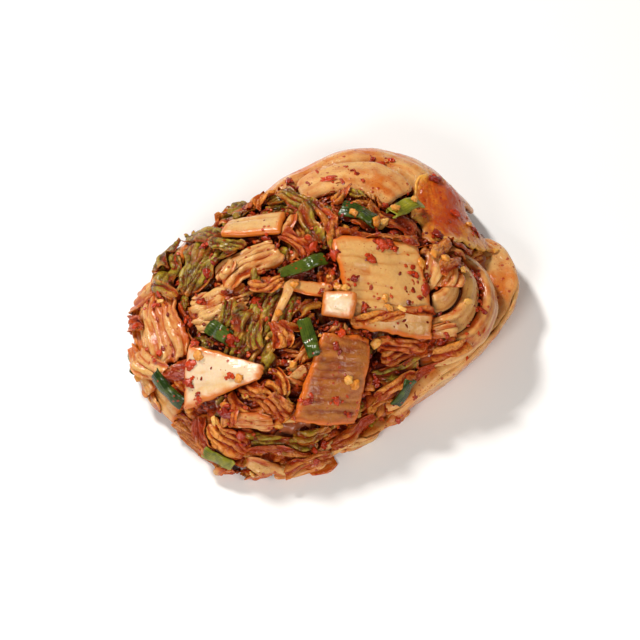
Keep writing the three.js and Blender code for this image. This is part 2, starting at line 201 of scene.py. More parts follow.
@dataclass
class ReachMap:
    """How far something reaches, in every direction from a point under the heap's middle."""

    size: int = 720
    span: float = 1.42
    depth: float = 25.0
    start: float = 0.0
    reach: Grid = field(init=False)

    def __post_init__(self) -> None:
        """Starts at the same reach everywhere."""
        self.reach = np.full((self.size, self.size), self.start)

    @property
    def centre(self) -> Grid:
        """The point that distances are measured from."""
        return np.array([0.0, 0.0, -self.depth])

    def locate(self, points: Grid) -> tuple[Grid, Grid, Grid]:
        """The map's row and column, and the distance, of each point.

        Args:
            points: Places in millimetres.

        Returns:
            Rows, columns and distances.
        """
        ray = points - self.centre
        distance = np.linalg.norm(ray, axis=-1)
        tilt = np.arccos(np.clip(ray[..., 2] / distance, -1, 1))
        turn = np.arctan2(ray[..., 1], ray[..., 0])
        scale = self.size / (2 * self.span)
        row = self.size / 2 + scale * tilt * np.sin(turn)
        column = self.size / 2 + scale * tilt * np.cos(turn)
        limit = self.size - 2.001
        return np.clip(row, 0, limit), np.clip(column, 0, limit), distance

    def place(self, row: Grid, column: Grid, source: Grid) -> Grid:
        """The point where a map's surface is, at a row and column.

        Args:
            row: Rows of the map.
            column: Columns of the map.
            source: The map's reach, or a softened one.

        Returns:
            The points.
        """
        scale = self.size / (2 * self.span)
        y, x = (row - self.size / 2) / scale, (column - self.size / 2) / scale
        tilt = np.hypot(x, y)
        spread = np.where(tilt > 1e-6, np.sin(tilt) / np.maximum(tilt, 1e-6), 1.0)
        ray = np.stack([x * spread, y * spread, np.cos(tilt)], axis=-1)
        return self.centre + ray * self.sample(source, row, column)[..., None]

    def add(self, points: Grid, widen: int = 1) -> None:
        """Raises the map to these points, and widen cells round each."""
        self.merge(np.maximum, points, widen)

    def lower(self, points: Grid, widen: int = 2) -> None:
        """Lowers the map to these points, and widen cells round each."""
        self.merge(np.minimum, points, widen)

    def merge(self, choose: np.ufunc, points: Grid, widen: int) -> None:
        """Keeps the larger or the smaller of the map and these points.

        Args:
            choose: Which of two numbers is kept.
            points: Places in millimetres.
            widen: Cells round each that take it too.
        """
        row, column, distance = (np.asarray(values).ravel() for values in self.locate(points))
        row, column = np.rint(row).astype(int), np.rint(column).astype(int)
        for up in range(-widen, widen + 1):
            for aside in range(-widen, widen + 1):
                near = (np.clip(row + up, 0, self.size - 1), np.clip(column + aside, 0, self.size - 1))
                choose.at(self.reach, near, distance)

    def read(self, points: Grid, source: Grid | None = None) -> tuple[Grid, Grid]:
        """The map's reach in each point's direction, and the point's own distance."""
        row, column, distance = self.locate(points)
        return self.sample(self.reach if source is None else source, row, column), distance

    @staticmethod
    def sample(source: Grid, row: Grid, column: Grid) -> Grid:
        """A map's value between its cells.

        Args:
            source: The map.
            row: Rows.
            column: Columns.

        Returns:
            The values there.
        """
        top, left = np.floor(row).astype(int), np.floor(column).astype(int)
        down, right = row - top, column - left
        upper = source[top, left] * (1 - right) + source[top, left + 1] * right
        lower = source[top + 1, left] * (1 - right) + source[top + 1, left + 1] * right
        return upper * (1 - down) + lower * down


class Face:
    """A shape with a middle face over s and t from -1 to 1."""

    def surface(self, heap: HeapShape, s: Grid, t: Grid) -> Grid:
        """The face's points."""
        raise NotImplementedError

    def extent(self, heap: HeapShape) -> tuple[float, float]:
        """Its length along s and its width along t, through the middle.

        Args:
            heap: The heap that it lies on.

        Returns:
            Both in millimetres.
        """
        s, t = lattice(9, 41)
        points = self.surface(heap, s, t)
        length = np.linalg.norm(np.diff(points[4], axis=0), axis=-1).sum()
        width = np.linalg.norm(np.diff(points[:, 20], axis=0), axis=-1).sum()
        return float(length), float(width)

    def grid(self, heap: HeapShape, cell: float, fuller: float = 1.0) -> tuple[Grid, Grid, Grid]:
        """A lattice with cells of about that size.

        Args:
            heap: The heap that the face lies on.
            cell: Size of a cell in millimetres.
            fuller: How many times as many rows, for a face that is folded.

        Returns:
            s, t and the flat place of each point in millimetres.
        """
        length, width = self.extent(heap)
        s, t = lattice(max(8, round(width * fuller / cell)), max(8, round(length / cell)))
        return s, t, np.stack([s * length / 2, t * width / 2, 0 * s], axis=-1)


@dataclass(frozen=True)
class Patch(Face):
    """A piece that lies on the heap.

    at is its middle on the ground plan, turn the direction of its length, size its length and width,
    lift its height over the heap's surface, roll its tilt about its length, drop how far its ends and
    its sides bend down, waist its width at either end as a share, slant how far its far end is pushed
    aside, pitch its tilt along its length, bend how far its middle is pushed aside.
    """

    at: tuple[float, float]
    turn: float
    size: tuple[float, float]
    lift: float = 0.0
    roll: float = 0.0
    drop: tuple[float, float] = (0.0, 0.0)
    waist: tuple[float, float] = (1.0, 1.0)
    slant: float = 0.0
    pitch: float = 0.0
    bend: float = 0.0

    def surface(self, heap: HeapShape, s: Grid, t: Grid) -> Grid:
        """The middle face before any folds.

        Args:
            heap: The heap that it lies on.
            s: Shares of its half length.
            t: Shares of its half width.

        Returns:
            The points in millimetres.
        """
        out = heap.normal(*self.at)
        base = np.array([*self.at, heap.level(*self.at)])
        angle = math.radians(self.turn)
        along = np.array([math.cos(angle), math.sin(angle), 0.0])
        along = unit(along - out * along.dot(out))
        across = np.cross(out, along)
        along, out = tilted(along, out, self.pitch)
        across, out = tilted(across, out, self.roll)
        half = self.size[1] / 2 * mixed(*self.waist, (s + 1) / 2)
        rise = self.lift - self.drop[0] * s**2 - self.drop[1] * t**2
        return (
            base
            + along * (self.size[0] / 2 * s)[..., None]
            + across * (half * t + self.slant * s + self.bend * (1 - s**2))[..., None]
            + out * rise[..., None]
        )


@dataclass(frozen=True)
class Band(Face):
    """A leaf or stem that runs round a centre like the wall of a bowl.

    inner and outer give the reach and the height of its two edges, fall how far its ends are lower,
    bulge lifts its middle, wave is the number and height of the waves of its outer edge, and flare the
    shares that its far end and its middle reach further. Where centre is None the reach is a share of
    the footprint's radius.
    """

    start: float
    end: float
    inner: tuple[float, float]
    outer: tuple[float, float]
    fall: tuple[float, float] = (0.0, 0.0)
    bulge: float = 0.0
    wave: tuple[float, float] = (0.0, 0.0)
    thick: float = 2.4
    centre: tuple[float, float] | None = None
    flare: tuple[float, float] = (0.0, 0.0)

    def surface(self, heap: HeapShape, s: Grid, t: Grid) -> Grid:
        """The middle face, over s round the centre and t from the inner edge to the outer.

        Args:
            heap: The heap that it lies on.
            s: Shares along it.
            t: Shares across it.

        Returns:
            The points in millimetres.
        """
        angle = np.radians(mixed(self.start, self.end, (s + 1) / 2))
        side = (t + 1) / 2
        swing = self.wave[1] * np.sin(self.wave[0] * np.pi * s + 0.7) * side
        radius = heap.footprint(angle) if self.centre is None else 1.0
        radius = radius * (1 + self.flare[0] * s + self.flare[1] * (1 - s**2))
        reach = mixed(self.inner[0], self.outer[0], side) * radius + 0.6 * swing
        low = self.inner[1] - self.fall[0] * s**2
        high = self.outer[1] - self.fall[1] * s**2
        height = low + (high - low) * side + self.bulge * (1 - t**2) + swing
        x, y = self.centre or (0.0, 0.0)
        points = [x + reach * np.cos(angle), y + reach * np.sin(angle), np.maximum(GROUND_GAP, height)]
        return np.stack(points, axis=-1)


@dataclass(frozen=True)
class View:
    """The direction that the heap is looked at from, which also places pieces by what is seen of them.

    Such places are counted from the middle of the view, to the right and up, in steps.
    """

    elevation: float = 58.0
    target: tuple[float, float, float] = (-0.5, -12.4, 20.0)
    width: float = 246.2
    steps: int = 640

    @property
    def step(self) -> float:
        """Size of a step in millimetres."""
        return self.width / self.steps

    @property
    def up(self) -> Grid:
        """The direction that is up in the view."""
        angle = math.radians(self.elevation)
        return np.array([0.0, math.sin(angle), math.cos(angle)])

    def ground(self, heap: HeapShape, right: float, up: float, lift: float = 2.0) -> tuple[float, float]:
        """Where a thing at that lift over the heap stands on the ground plan, to be seen at a place.

        Args:
            heap: The heap that it lies on.
            right: Steps to the right.
            up: Steps up.
            lift: Millimetres over the heap.

        Returns:
            x and y.
        """
        rows, shift = np.arange(-85.0, 80.0, 0.2), np.zeros(3)
        x = y = 0.0
        for _ in range(3):
            x = self.target[0] + right * self.step - shift[0]
            level = heap.level(np.full(rows.shape, x), rows)
            deep, high = rows - self.target[1], level - self.target[2]
            seen = deep * self.up[1] + high * self.up[2] + shift.dot(self.up)
            past = seen >= up * self.step
            y = float(rows[np.argmax(past if past.any() else seen)])
            shift = heap.normal(x, y) * lift
        return x, y

    def patch(
        self, heap: HeapShape, place: tuple[float, float], turn: float, size: tuple[float, float],
        lift: float, **more: object,
    ) -> Patch:
        """A patch on the heap from its place, direction and size as seen.

        Args:
            heap: The heap that it lies on.
            place: Its middle in steps.
            turn: The direction of its length.
            size: Its length and width in steps.
            lift: Millimetres over the heap.
            more: The patch's other fields.

        Returns:
            The patch.
        """
        x, y = self.ground(heap, *place, lift)
        out, angle = heap.normal(x, y), math.radians(turn)
        sight = np.array([[1.0, 0.0, 0.0], self.up, out])
        along = np.linalg.solve(sight, [math.cos(angle), math.sin(angle), 0.0])
        across = np.linalg.solve(sight, [-math.sin(angle), math.cos(angle), 0.0])
        level = along - out * (along[2] / out[2])
        longer, wider = (min(1.5, float(np.linalg.norm(side))) for side in (along, across))
        true = (size[0] * self.step * longer, size[1] * self.step * wider)
        return Patch((x, y), math.degrees(math.atan2(level[1], level[0])), true, lift, **more)


# Shader maths.
class Value:
    """A socket's number in a shader, which takes part in Python sums."""

    def __init__(self, tree: "ShaderTree", socket: bpy.types.NodeSocket) -> None:
        """Keeps the socket and its tree."""
        self.tree, self.socket = tree, socket

    def __add__(self, other: "Value | float") -> "Value":
        """Sum."""
        return self.tree.math("ADD", self, other)

    __radd__ = __add__

    def __mul__(self, other: "Value | float") -> "Value":
        """Product."""
        return self.tree.math("MULTIPLY", self, other)

    __rmul__ = __mul__

    def __sub__(self, other: "Value | float") -> "Value":
        """Difference."""
        return self.tree.math("SUBTRACT", self, other)

    def __rsub__(self, other: float) -> "Value":
        """Difference, from a plain number."""
        return self.tree.math("SUBTRACT", other, self)

    def __lt__(self, other: float) -> "Value":
        """1 where it is under the other, else 0."""
        return self.tree.math("LESS_THAN", self, other)

    def step(self, low: float, high: float) -> "Value":
        """0 below low, 1 above high, and smooth between.

        Args:
            low: Where it starts.
            high: Where it ends.

        Returns:
            The share.
        """
        sockets = {"Value": self, "From Min": low, "From Max": high}
        node = self.tree.node("ShaderNodeMapRange", {"interpolation_type": "SMOOTHSTEP"}, sockets)
        return Value(self.tree, node.outputs["Result"])


class ShaderTree:
    """The node tree of one material."""

    def __init__(self, name: str) -> None:
        """Starts an empty material with its output.

        Args:
            name: The material's name.
        """
        self.material = bpy.data.materials.new(name)
        self.material.use_nodes = True
        self.tree = self.material.node_tree
        self.tree.nodes.clear()

    def node(self, kind: str, settings: dict | None = None, sockets: dict | None = None) -> bpy.types.Node:
        """Adds a node.

        Args:
            kind: The node's type name.
            settings: Its properties, set first.
            sockets: Values or links of its inputs, by name or number.

        Returns:
            The new node.
        """
        made = self.tree.nodes.new(kind)
        for name, value in (settings or {}).items():
            setattr(made, name, value)
        for name, value in (sockets or {}).items():
            if isinstance(value, Value):
                self.tree.links.new(value.socket, made.inputs[name])
            else:
                made.inputs[name].default_value = value
        return made

    def math(self, operation: str, first: Value | float, second: Value | float) -> Value:
        """A Math node on two numbers."""
        made = self.node("ShaderNodeMath", {"operation": operation}, {0: first, 1: second})
        return Value(self, made.outputs[0])

    def attribute(self, name: str) -> Value:
        """A number kept in the mesh."""
        return Value(self, self.node("ShaderNodeAttribute", {"attribute_name": name}).outputs["Fac"])

    def place(self) -> Value:
        """Object coordinates, in metres."""
        return Value(self, self.node("ShaderNodeTexCoord").outputs["Object"])

    def noise(self, place: Value, size_mm: float, detail: float = 3.0, warp: float = 0.0) -> Value:
        """Soft noise with bumps of a size in millimetres."""
        sockets = {"Vector": place, "Scale": 1 / (size_mm * MM), "Detail": detail, "Distortion": warp}
        return Value(self, self.node("ShaderNodeTexNoise", None, sockets).outputs["Fac"])

    def fibres(self) -> Value:
        """Fine lines along the piece, from its own measures along and across.

        Returns:
            The height of the lines.
        """
        measures = {"X": self.attribute("along") * 0.13, "Y": self.attribute("across")}
        place = Value(self, self.node("ShaderNodeCombineXYZ", None, measures).outputs[0])
        return self.noise(place, 1.5, 2, 0.1)

    def cells(self, place: Value, size_mm: float) -> tuple[Value, Value]:
        """Distance from the nearest of scattered points, and that point's random number.

        Args:
            place: Where it is read.
            size_mm: How far the points are apart.

        Returns:
            The distance and the number.
        """
        sockets = {"Vector": place, "Scale": 1 / (size_mm * MM)}
        made = self.node("ShaderNodeTexVoronoi", None, sockets)
        parts = self.node("ShaderNodeSeparateColor", None, {"Color": Value(self, made.outputs["Color"])})
        return Value(self, made.outputs["Distance"]), Value(self, parts.outputs[0])

    def mix(self, share: Value | float, first: Value | Colour, second: Value | Colour) -> Value:
        """A colour between two others.

        Args:
            share: How much of the second.
            first: A colour.
            second: A colour.

        Returns:
            The colour.
        """
        pair = [value if isinstance(value, Value) else (*value, 1.0) for value in (first, second)]
        made = self.node("ShaderNodeMix", {"data_type": "RGBA"}, {0: share, 6: pair[0], 7: pair[1]})
        return Value(self, made.outputs[2])

    def bump(self, height: Value, strength: float, distance_mm: float) -> Value:
        """A normal bent by a height."""
        sockets = {"Height": height, "Strength": strength, "Distance": distance_mm * MM}
        return Value(self, self.node("ShaderNodeBump", None, sockets).outputs["Normal"])

    def finish(self, sockets: dict) -> bpy.types.Material:
        """Adds the surface shader and the output, and returns the material.

        Args:
            sockets: The surface shader's inputs.

        Returns:
            The material.
        """
        shader = self.node("ShaderNodeBsdfPrincipled", {"subsurface_method": "RANDOM_WALK"}, sockets)
        surface = Value(self, shader.outputs["BSDF"])
        self.node("ShaderNodeOutputMaterial", None, {"Surface": surface})
        return self.material


# Finishes.
PEPPER_RED: Colour = (0.36, 0.018, 0.002)
SAUCE: Colour = (0.37, 0.028, 0.0015)
# Near-black red: painted shade in creases and hollows, over the sauce that pools there.
SAUCE_AND_PAINTED_SHADE: Colour = (0.075, 0.004, 0.0006)


@dataclass(frozen=True)
class WetLeafFinish:
    """Fermented cabbage: clean flesh, sauce stains, green parts, grooves, veins and pepper specks, all wet.

    The mesh keeps the shares that place them: edge, hollow, crease, green, groove and tint, and the
    measures along and across each piece. Where hollow and crease are high, the colour turns to sauce and
    then near-black red, which is painted shade over the sauce that pools there.
    """

    name: str
    pale: Colour
    stain: Colour
    # The dark green and the light green also serve as painted shade in creases and a painted highlight on
    # ridges.
    green: Colour = (0.024, 0.027, 0.002)
    light_green_and_highlight: Colour = (0.35, 0.26, 0.018)
    groove: Colour = (0.30, 0.085, 0.010)
    rim: Colour = (0.60, 0.13, 0.010)
    rimmed: float = 0.35
    stained: float = 0.5
    speckle: float = 0.5
    clear: float = 0.16
    bumps: float = 0.5
    crease: float = 1.0
    veins: float = 0.0
    fibrous: float = 0.4

    def material(self) -> bpy.types.Material:
        """Builds the material.

        Returns:
            The material.
        """
        tree = ShaderTree(self.name)
        place = tree.place()
        patches, mottle = tree.noise(place, 15, 3, 0.4), tree.noise(place, 4.0, 4, 0.6)
        grain = tree.noise(place, 1.0, 3)
        edge, hollow, crease = tree.attribute("edge"), tree.attribute("hollow"), tree.attribute("crease")
        green, groove, tint = tree.attribute("green"), tree.attribute("groove"), tree.attribute("tint")
        fibres = tree.fibres()

        # Sauce stains fall by noise, with more of them in hollows and creases, where this also paints shade.
        stain_and_painted_shade = patches * 1.0 + mottle * 0.6 + hollow * 0.5 + tint * 0.25 + crease * 0.6
        stain_and_painted_shade = stain_and_painted_shade + fibres * 0.9 * self.fibrous
        level = 1.34 - 0.62 * self.stained + 0.45 * self.fibrous
        flesh = tree.mix(stain_and_painted_shade.step(level - 0.26, level + 0.26), self.pale, self.stain)
        flesh = tree.mix(groove * mottle.step(0.2, 0.6) * 0.9, flesh, self.groove)
        # Green parts are paler yellow-green on ridges and dark green in creases: a painted highlight and
        # painted shade, mixed with random tone.
        shade = mottle * 0.7 + grain * 0.3 - crease * 0.45
        leafy = tree.mix(shade.step(0.28, 0.56), self.green, self.light_green_and_highlight)
        flesh = tree.mix((green + (mottle - 0.5) * 0.9).step(0.35, 0.7), flesh, leafy)
        flesh = tree.mix((1 - (grain * 0.6 + mottle * 0.4).step(0.3, 0.75)) * 0.25, flesh, self.stain)
        vein = tree.math("ABSOLUTE", tree.noise(place, 3.2, 5, 1.0) - 0.5, 0.0).step(0.045, 0.0)
        if self.veins:
            flesh = tree.mix(vein * self.veins, flesh, SAUCE)
        flesh = tree.mix((edge + (mottle - 0.5) * 0.5).step(0.4, 0.85) * self.rimmed, flesh, self.rim)
        # Creases turn to sauce red and then near-black: pooled sauce, deepened by painted shade.
        flesh = tree.mix(crease.step(0.2, 0.75) * 0.75 * self.crease, flesh, SAUCE)
        flesh = tree.mix(crease.step(0.5, 1.0) * 0.85 * self.crease, flesh, SAUCE_AND_PAINTED_SHADE)

        near, lot = tree.cells(place, 2.2)
        specks = near.step(0.36, 0.18) * (lot < self.speckle * 0.28)
        fine_near, fine_lot = tree.cells(place, 0.9)
        dust = fine_near.step(0.38, 0.2) * (fine_lot < self.speckle * 0.2)
        flesh = tree.mix(dust * 0.7, flesh, PEPPER_RED)
        flesh = tree.mix(specks * 0.85, flesh, PEPPER_RED)
        # Points under the heap's general surface turn near-black: painted shade in the hollows between
        # pieces, over pooled sauce.
        flesh = tree.mix((hollow + (mottle - 0.5) * 0.5).step(0.3, 1.0) * 0.9, flesh, SAUCE_AND_PAINTED_SHADE)

        height = mottle * 0.6 + grain * 0.4 + specks * 0.5 + fibres * 0.7 * self.fibrous
        height = height - vein * self.veins * 0.8
        return tree.finish({
            "Base Color": flesh,
            "Roughness": (mottle * 0.6 + grain * 0.4).step(0.2, 0.8) * 0.2 + 0.08,
            "Normal": tree.bump(height, self.bumps, 0.8),
            "Specular IOR Level": 0.4,
            "Subsurface Weight": self.clear,
            "Subsurface Radius": (0.8, 0.32, 0.08),
            "Subsurface Scale": 1.2 * MM,
        })


@dataclass(frozen=True)
class OnionFinish:
    """Spring onion leaf: dark glossy green with fine lines along it."""

    name: str
    dark: Colour
    bright: Colour

    def material(self) -> bpy.types.Material:
        """Builds the material.

        Returns:
            The material.
        """
        tree = ShaderTree(self.name)
        place = tree.place()
        mottle, grain = tree.noise(place, 4, 3, 0.5), tree.noise(place, 0.9, 2)
        hollow, tint, lines = tree.attribute("hollow"), tree.attribute("tint"), tree.attribute("groove")
        colour = tree.mix((mottle * 1.1 + lines * 0.15 + tint * 0.3).step(0.5, 1.0), self.dark, self.bright)
        near, lot = tree.cells(place, 1.6)
        colour = tree.mix(near.step(0.36, 0.18) * (lot < 0.25) * 0.85, colour, PEPPER_RED)
        # Points under the heap's general surface turn near-black: painted shade over pooled sauce.
        colour = tree.mix(hollow.step(0.4, 1.0) * 0.8, colour, SAUCE_AND_PAINTED_SHADE)
        return tree.finish({
            "Base Color": colour,
            "Roughness": 0.12 + mottle * 0.2,
            "Normal": tree.bump(lines * 0.3 + grain * 0.4 + mottle, 0.5, 0.5),
            "Specular IOR Level": 0.4,
            "Subsurface Weight": 0.08,
            "Subsurface Radius": (0.4, 0.9, 0.2),
            "Subsurface Scale": 1.0 * MM,
        })


@dataclass(frozen=True)
class GrainFinish:
    """Small wet things, such as pepper flakes or chopped garlic, each a little different."""

    name: str
    first: Colour
    second: Colour
    clear: float = 0.1
    roughness: float = 0.15

    def material(self) -> bpy.types.Material:
        """Builds the material.

        Returns:
            The material.
        """
        tree = ShaderTree(self.name)
        place = tree.place()
        tint, mottle = tree.attribute("tint"), tree.noise(place, 1.4, 3)
        colour = tree.mix((tint * 0.75 + mottle * 0.6).step(0.25, 1.0), self.first, self.second)
        return tree.finish({
            "Base Color": colour,
            "Roughness": mottle * 0.2 + self.roughness,
            "Normal": tree.bump(mottle, 0.8, 0.6),
            "Specular IOR Level": 0.4,
            "Subsurface Weight": self.clear,
            "Subsurface Radius": (1.0, 0.36, 0.1),
            "Subsurface Scale": 1.2 * MM,
        })


@dataclass(frozen=True)
class FloorFinish:
    """A plain pale floor."""

    name: str = "pale_floor"

    def material(self) -> bpy.types.Material:
        """Builds the material.

        Returns:
            The material.
        """
        tree = ShaderTree(self.name)
        colour = tree.mix(tree.noise(tree.place(), 40, 2), (0.88, 0.88, 0.88), (0.9, 0.9, 0.9))
        return tree.finish({"Base Color": colour, "Roughness": 0.9})


class Finish(Enum):
    """The finishes of the heap's pieces."""

    STEM = WetLeafFinish(
        "stem_flesh", (0.64, 0.375, 0.125), (0.48, 0.10, 0.008), groove=(0.46, 0.18, 0.03), rimmed=0.95,
        stained=0.2, speckle=0.25, clear=0.18, crease=0.6, veins=0.05, fibrous=0.25,
    )
    WHITE_STEM = WetLeafFinish(
        "white_stem_flesh", (0.72, 0.58, 0.41), (0.66, 0.34, 0.08), groove=(0.60, 0.40, 0.15),
        rim=(0.6, 0.145, 0.0075), rimmed=0.95, stained=0.05, speckle=0.2, clear=0.16, crease=0.4,
    )
    CREAM_STEM = WetLeafFinish(
        "cream_stem_flesh", (0.66, 0.43, 0.18), (0.58, 0.22, 0.03), groove=(0.54, 0.24, 0.05),
        rim=(0.58, 0.136, 0.0075), rimmed=0.95, stained=0.2, speckle=0.3, clear=0.16, crease=0.4, veins=0.1,
    )
    BROWN_STEM = WetLeafFinish(
        "brown_stem_flesh", (0.46, 0.165, 0.028), (0.22, 0.034, 0.003), groove=(0.12, 0.017, 0.002),
        rimmed=0.95, stained=0.5, clear=0.14, crease=0.7, veins=0.2, fibrous=0.8,
    )
    RIB = WetLeafFinish(
        "rib_flesh", (0.68, 0.42, 0.14), (0.48, 0.10, 0.006), stained=0.42, clear=0.14, crease=1.0, veins=0.2,
        fibrous=0.8,
    )
    NESTED = WetLeafFinish(
        "nested_stem_flesh", (0.68, 0.38, 0.11), (0.42, 0.07, 0.004), rim=(0.74, 0.46, 0.17), rimmed=0.75,
        stained=0.40, clear=0.14, veins=0.15, fibrous=0.7,
    )
    LEAF = WetLeafFinish(
        "orange_leaf", (0.72, 0.30, 0.045), (0.42, 0.046, 0.002),
        stained=0.55, clear=0.12, bumps=0.8, veins=0.5,
    )
    BROWN_LEAF = WetLeafFinish(
        "brown_leaf", (0.62, 0.23, 0.03), (0.31, 0.028, 0.0015),
        stained=0.58, clear=0.12, bumps=0.8, veins=0.5,
    )
    GREEN_LEAF = WetLeafFinish(
        "olive_leaf", (0.52, 0.25, 0.03), (0.3, 0.05, 0.002), stained=0.5, clear=0.12, bumps=0.8, veins=0.4,
    )
    OUTER_LEAF = WetLeafFinish(
        "outer_leaf_flesh", (0.72, 0.44, 0.16), (0.58, 0.14, 0.010), rim=(0.74, 0.42, 0.13),
        stained=0.44, speckle=0.6, clear=0.18, veins=0.15, fibrous=0.15,
    )
    DRAPED_LEAF = WetLeafFinish(
        "draped_leaf_flesh", (0.76, 0.29, 0.02), (0.46, 0.05, 0.0015), rim=(0.82, 0.42, 0.07), rimmed=0.9,
        stained=0.5, clear=0.2, veins=0.3, bumps=0.6,
    )
    # The core shows only in gaps between the larger pieces; its near-black red is painted shade there as well
    # as the sauce-soaked cuts.
    CORE = WetLeafFinish(
        "fine_cuts", (0.17, 0.018, 0.0015), (0.09, 0.006, 0.0006), stained=0.75, bumps=0.8, fibrous=0.0,
    )
    ONION = OnionFinish("onion_leaf", (0.010, 0.026, 0.002), (0.070, 0.100, 0.006))
    ONION_STALK = OnionFinish("onion_stalk", (0.07, 0.085, 0.004), (0.27, 0.24, 0.014))
    FLAKE = GrainFinish("pepper_flake", (0.16, 0.007, 0.001), (0.48, 0.055, 0.005))
    PASTE = GrainFinish("pepper_paste", (0.20, 0.008, 0.001), (0.50, 0.040, 0.003), 0.1, 0.07)
    GARLIC = GrainFinish("chopped_garlic", (0.64, 0.22, 0.02), (0.74, 0.40, 0.09), 0.3, 0.12)

    def material(self) -> bpy.types.Material:
        """The finish's material, made once."""
        return bpy.data.materials.get(self.value.name) or self.value.material()


# Modelling.
@dataclass
class Sheet:
    """A piece of leaf or stem while it is being shaped: the points of its middle face in millimetres."""

    points: Grid
    thick: float
    marks: dict[str, Grid] = field(default_factory=dict)

    @property
    def cell(self) -> tuple[float, float]:
        """Mean distance in millimetres between neighbours along a column and along a row."""
        steps = (np.linalg.norm(np.diff(self.points, axis=axis), axis=-1) for axis in (0, 1))
        return tuple(float(step.mean()) for step in steps)

    def sides(self) -> tuple[Grid, Grid, Grid]:
        """Unit vectors along the rows, along the columns and out of the face."""
        along, across = (unit(np.gradient(self.points, axis=axis)) for axis in (1, 0))
        return along, across, unit(np.cross(along, across))

    def raise_by(self, height: Grid, aside: Grid | float = 0.0) -> None:
        """Moves the points out of the face by a height, and aside along the columns."""
        _, across, out = self.sides()
        self.points = self.points + out * height[..., None] + across * (aside + 0 * height)[..., None]

    def rim_distance(self) -> Grid:
        """How far each point is from the rim, in millimetres."""
        axes = zip(np.indices(self.points.shape[:2]), self.points.shape, self.cell)
        return np.minimum(*(np.minimum(at, count - 1 - at) * step for at, count, step in axes))

    def mark_creases(self, width: float, depth: float) -> None:
        """Marks points that lie deeper than what is within a width round them, where the finishes paint shade
        over pooled sauce.

        Args:
            width: Width of what counts as round them.
            depth: Depth of a full crease.
        """
        down, along = self.cell
        smooth = soften(self.points, width / down, width / along)
        out = Sheet(smooth, self.thick).sides()[2]
        below = np.sum((smooth - self.points) * out, axis=-1)
        self.marks["crease"] = np.maximum(self.marks.get("crease", 0), np.clip(0.25 + below / depth, 0, 1))

    def rest_on(self, heap: ReachMap, stiffness: float, gap: float, sag: float) -> None:
        """Lets the sheet lie on what is under it.

        Args:
            heap: What lies there already.
            stiffness: Width in millimetres of the bumps that it bridges.
            gap: From what is under it to its middle face.
            sag: How far it may sink from where it is.
        """
        down, along = self.cell
        under, distance = heap.read(self.points)
        short = np.maximum(under + gap - distance, -sag)
        lift = soften(short, stiffness / down, stiffness / along)
        for share in (0.5, 0.25):
            left = np.maximum(short - lift, 0)
            lift = lift + soften(left, share * stiffness / down, share * stiffness / along)
        self.points = self.points + unit(self.points - heap.centre) * lift[..., None]

    def stay_under(self, lid: ReachMap, gap: float, blend: float = 1.5) -> None:
        """Presses the sheet down to a gap under a lid, and less and less beside it.

        Args:
            lid: The lid.
            gap: From the middle face to the lid.
            blend: How far beside it the pressing eases.
        """
        down, along = self.cell
        over, distance = lid.read(self.points)
        high = np.maximum(distance + gap - over, 0)
        eased = soften(high, blend / down, blend / along)
        self.points = self.points - unit(self.points - lid.centre) * np.maximum(high, eased)[..., None]


@dataclass(frozen=True)
class Folding:
    """Folds a leaf the way it folds when it is pushed together: it keeps its own size in a low box.

    fullness says how many times longer and wider the leaf is than its place, width and height are
    those of its folds, and roundness opens them.
    """

    noise: Noise
    fullness: tuple[float, float]
    width: float
    height: float
    roundness: float = 0.06
    steps: int = 110

    def fold(self, size: tuple[float, float], cells: tuple[int, int], shift: float) -> Grid:
        """A folded leaf over a flat ground.

        Args:
            size: Length and width of its place.
            cells: Its numbers of rows and columns of points.
            shift: Sets its folds apart from other leaves'.

        Returns:
            The points of its middle face in millimetres, with the folds along x.
        """
        noise, (length, width) = self.noise, size
        s, t = lattice(*cells)
        points = np.stack([s * length / 2, t * width / 2, 0 * s], axis=-1)
        place = points + shift
        wander = 1.3 * noise(place + 90, (16.0, 9.0, 9.0)) + 0.45 * noise(place + 30, (6.0, 4.5, 9.0))
        waves = 0.4 * np.cos(2 * np.pi * (points[..., 1] / self.width + wander))
        uneven = waves + 0.3 * noise(place + 7, (7.0, 5.0, 9.0))
        points[..., 2] = self.height * uneven + 0.2 * noise(place, 2.0)
        along = length * self.fullness[0] / (cells[1] - 1)
        down = width * self.fullness[1] / (cells[0] - 1) * (1 + 0.3 * noise(place + 60, 9.0))[..., None]
        slope = np.hypot(along, down)
        box = np.array([length / 2, width / 2, 0.75 * self.height])
        for _ in range(self.steps):
            for first in (0, 1):
                self.hold(points[:, first:-1:2], points[:, first + 1::2], along, 0.5)
                upper, lower = points[first:-1:2], points[first + 1::2]
                self.hold(upper, lower, down[first:-1:2], 0.5)
                self.hold(upper[:, :-1], lower[:, 1:], slope[first:-1:2, 1:], 0.15)
                self.hold(upper[:, 1:], lower[:, :-1], slope[first:-1:2, 1:], 0.15)
            bent = points.copy()
            bent[1:-1] += self.roundness * (points[2:] + points[:-2] - 2 * points[1:-1])
            bent[:, 1:-1] += self.roundness * (points[:, 2:] + points[:, :-2] - 2 * points[:, 1:-1])
            bent[..., 2] *= np.where(np.abs(bent[..., 2]) > self.height / 2, 0.9, 1.0)
            points = np.clip(bent, -box, box)
        return points

    @staticmethod
    def hold(first: Grid, second: Grid, distance: Grid | float, share: float) -> None:
        """Moves neighbours towards the distance that they have in the flat leaf.

        Args:
            first: Points.
            second: Their neighbours.
            distance: Their distance in the flat leaf.
            share: How much is mended at once.
        """
        apart = second - first
        now = np.linalg.norm(apart, axis=-1, keepdims=True)
        push = apart * (share * (now - distance) / np.maximum(now, 1e-6))
        first += push
        second -= push


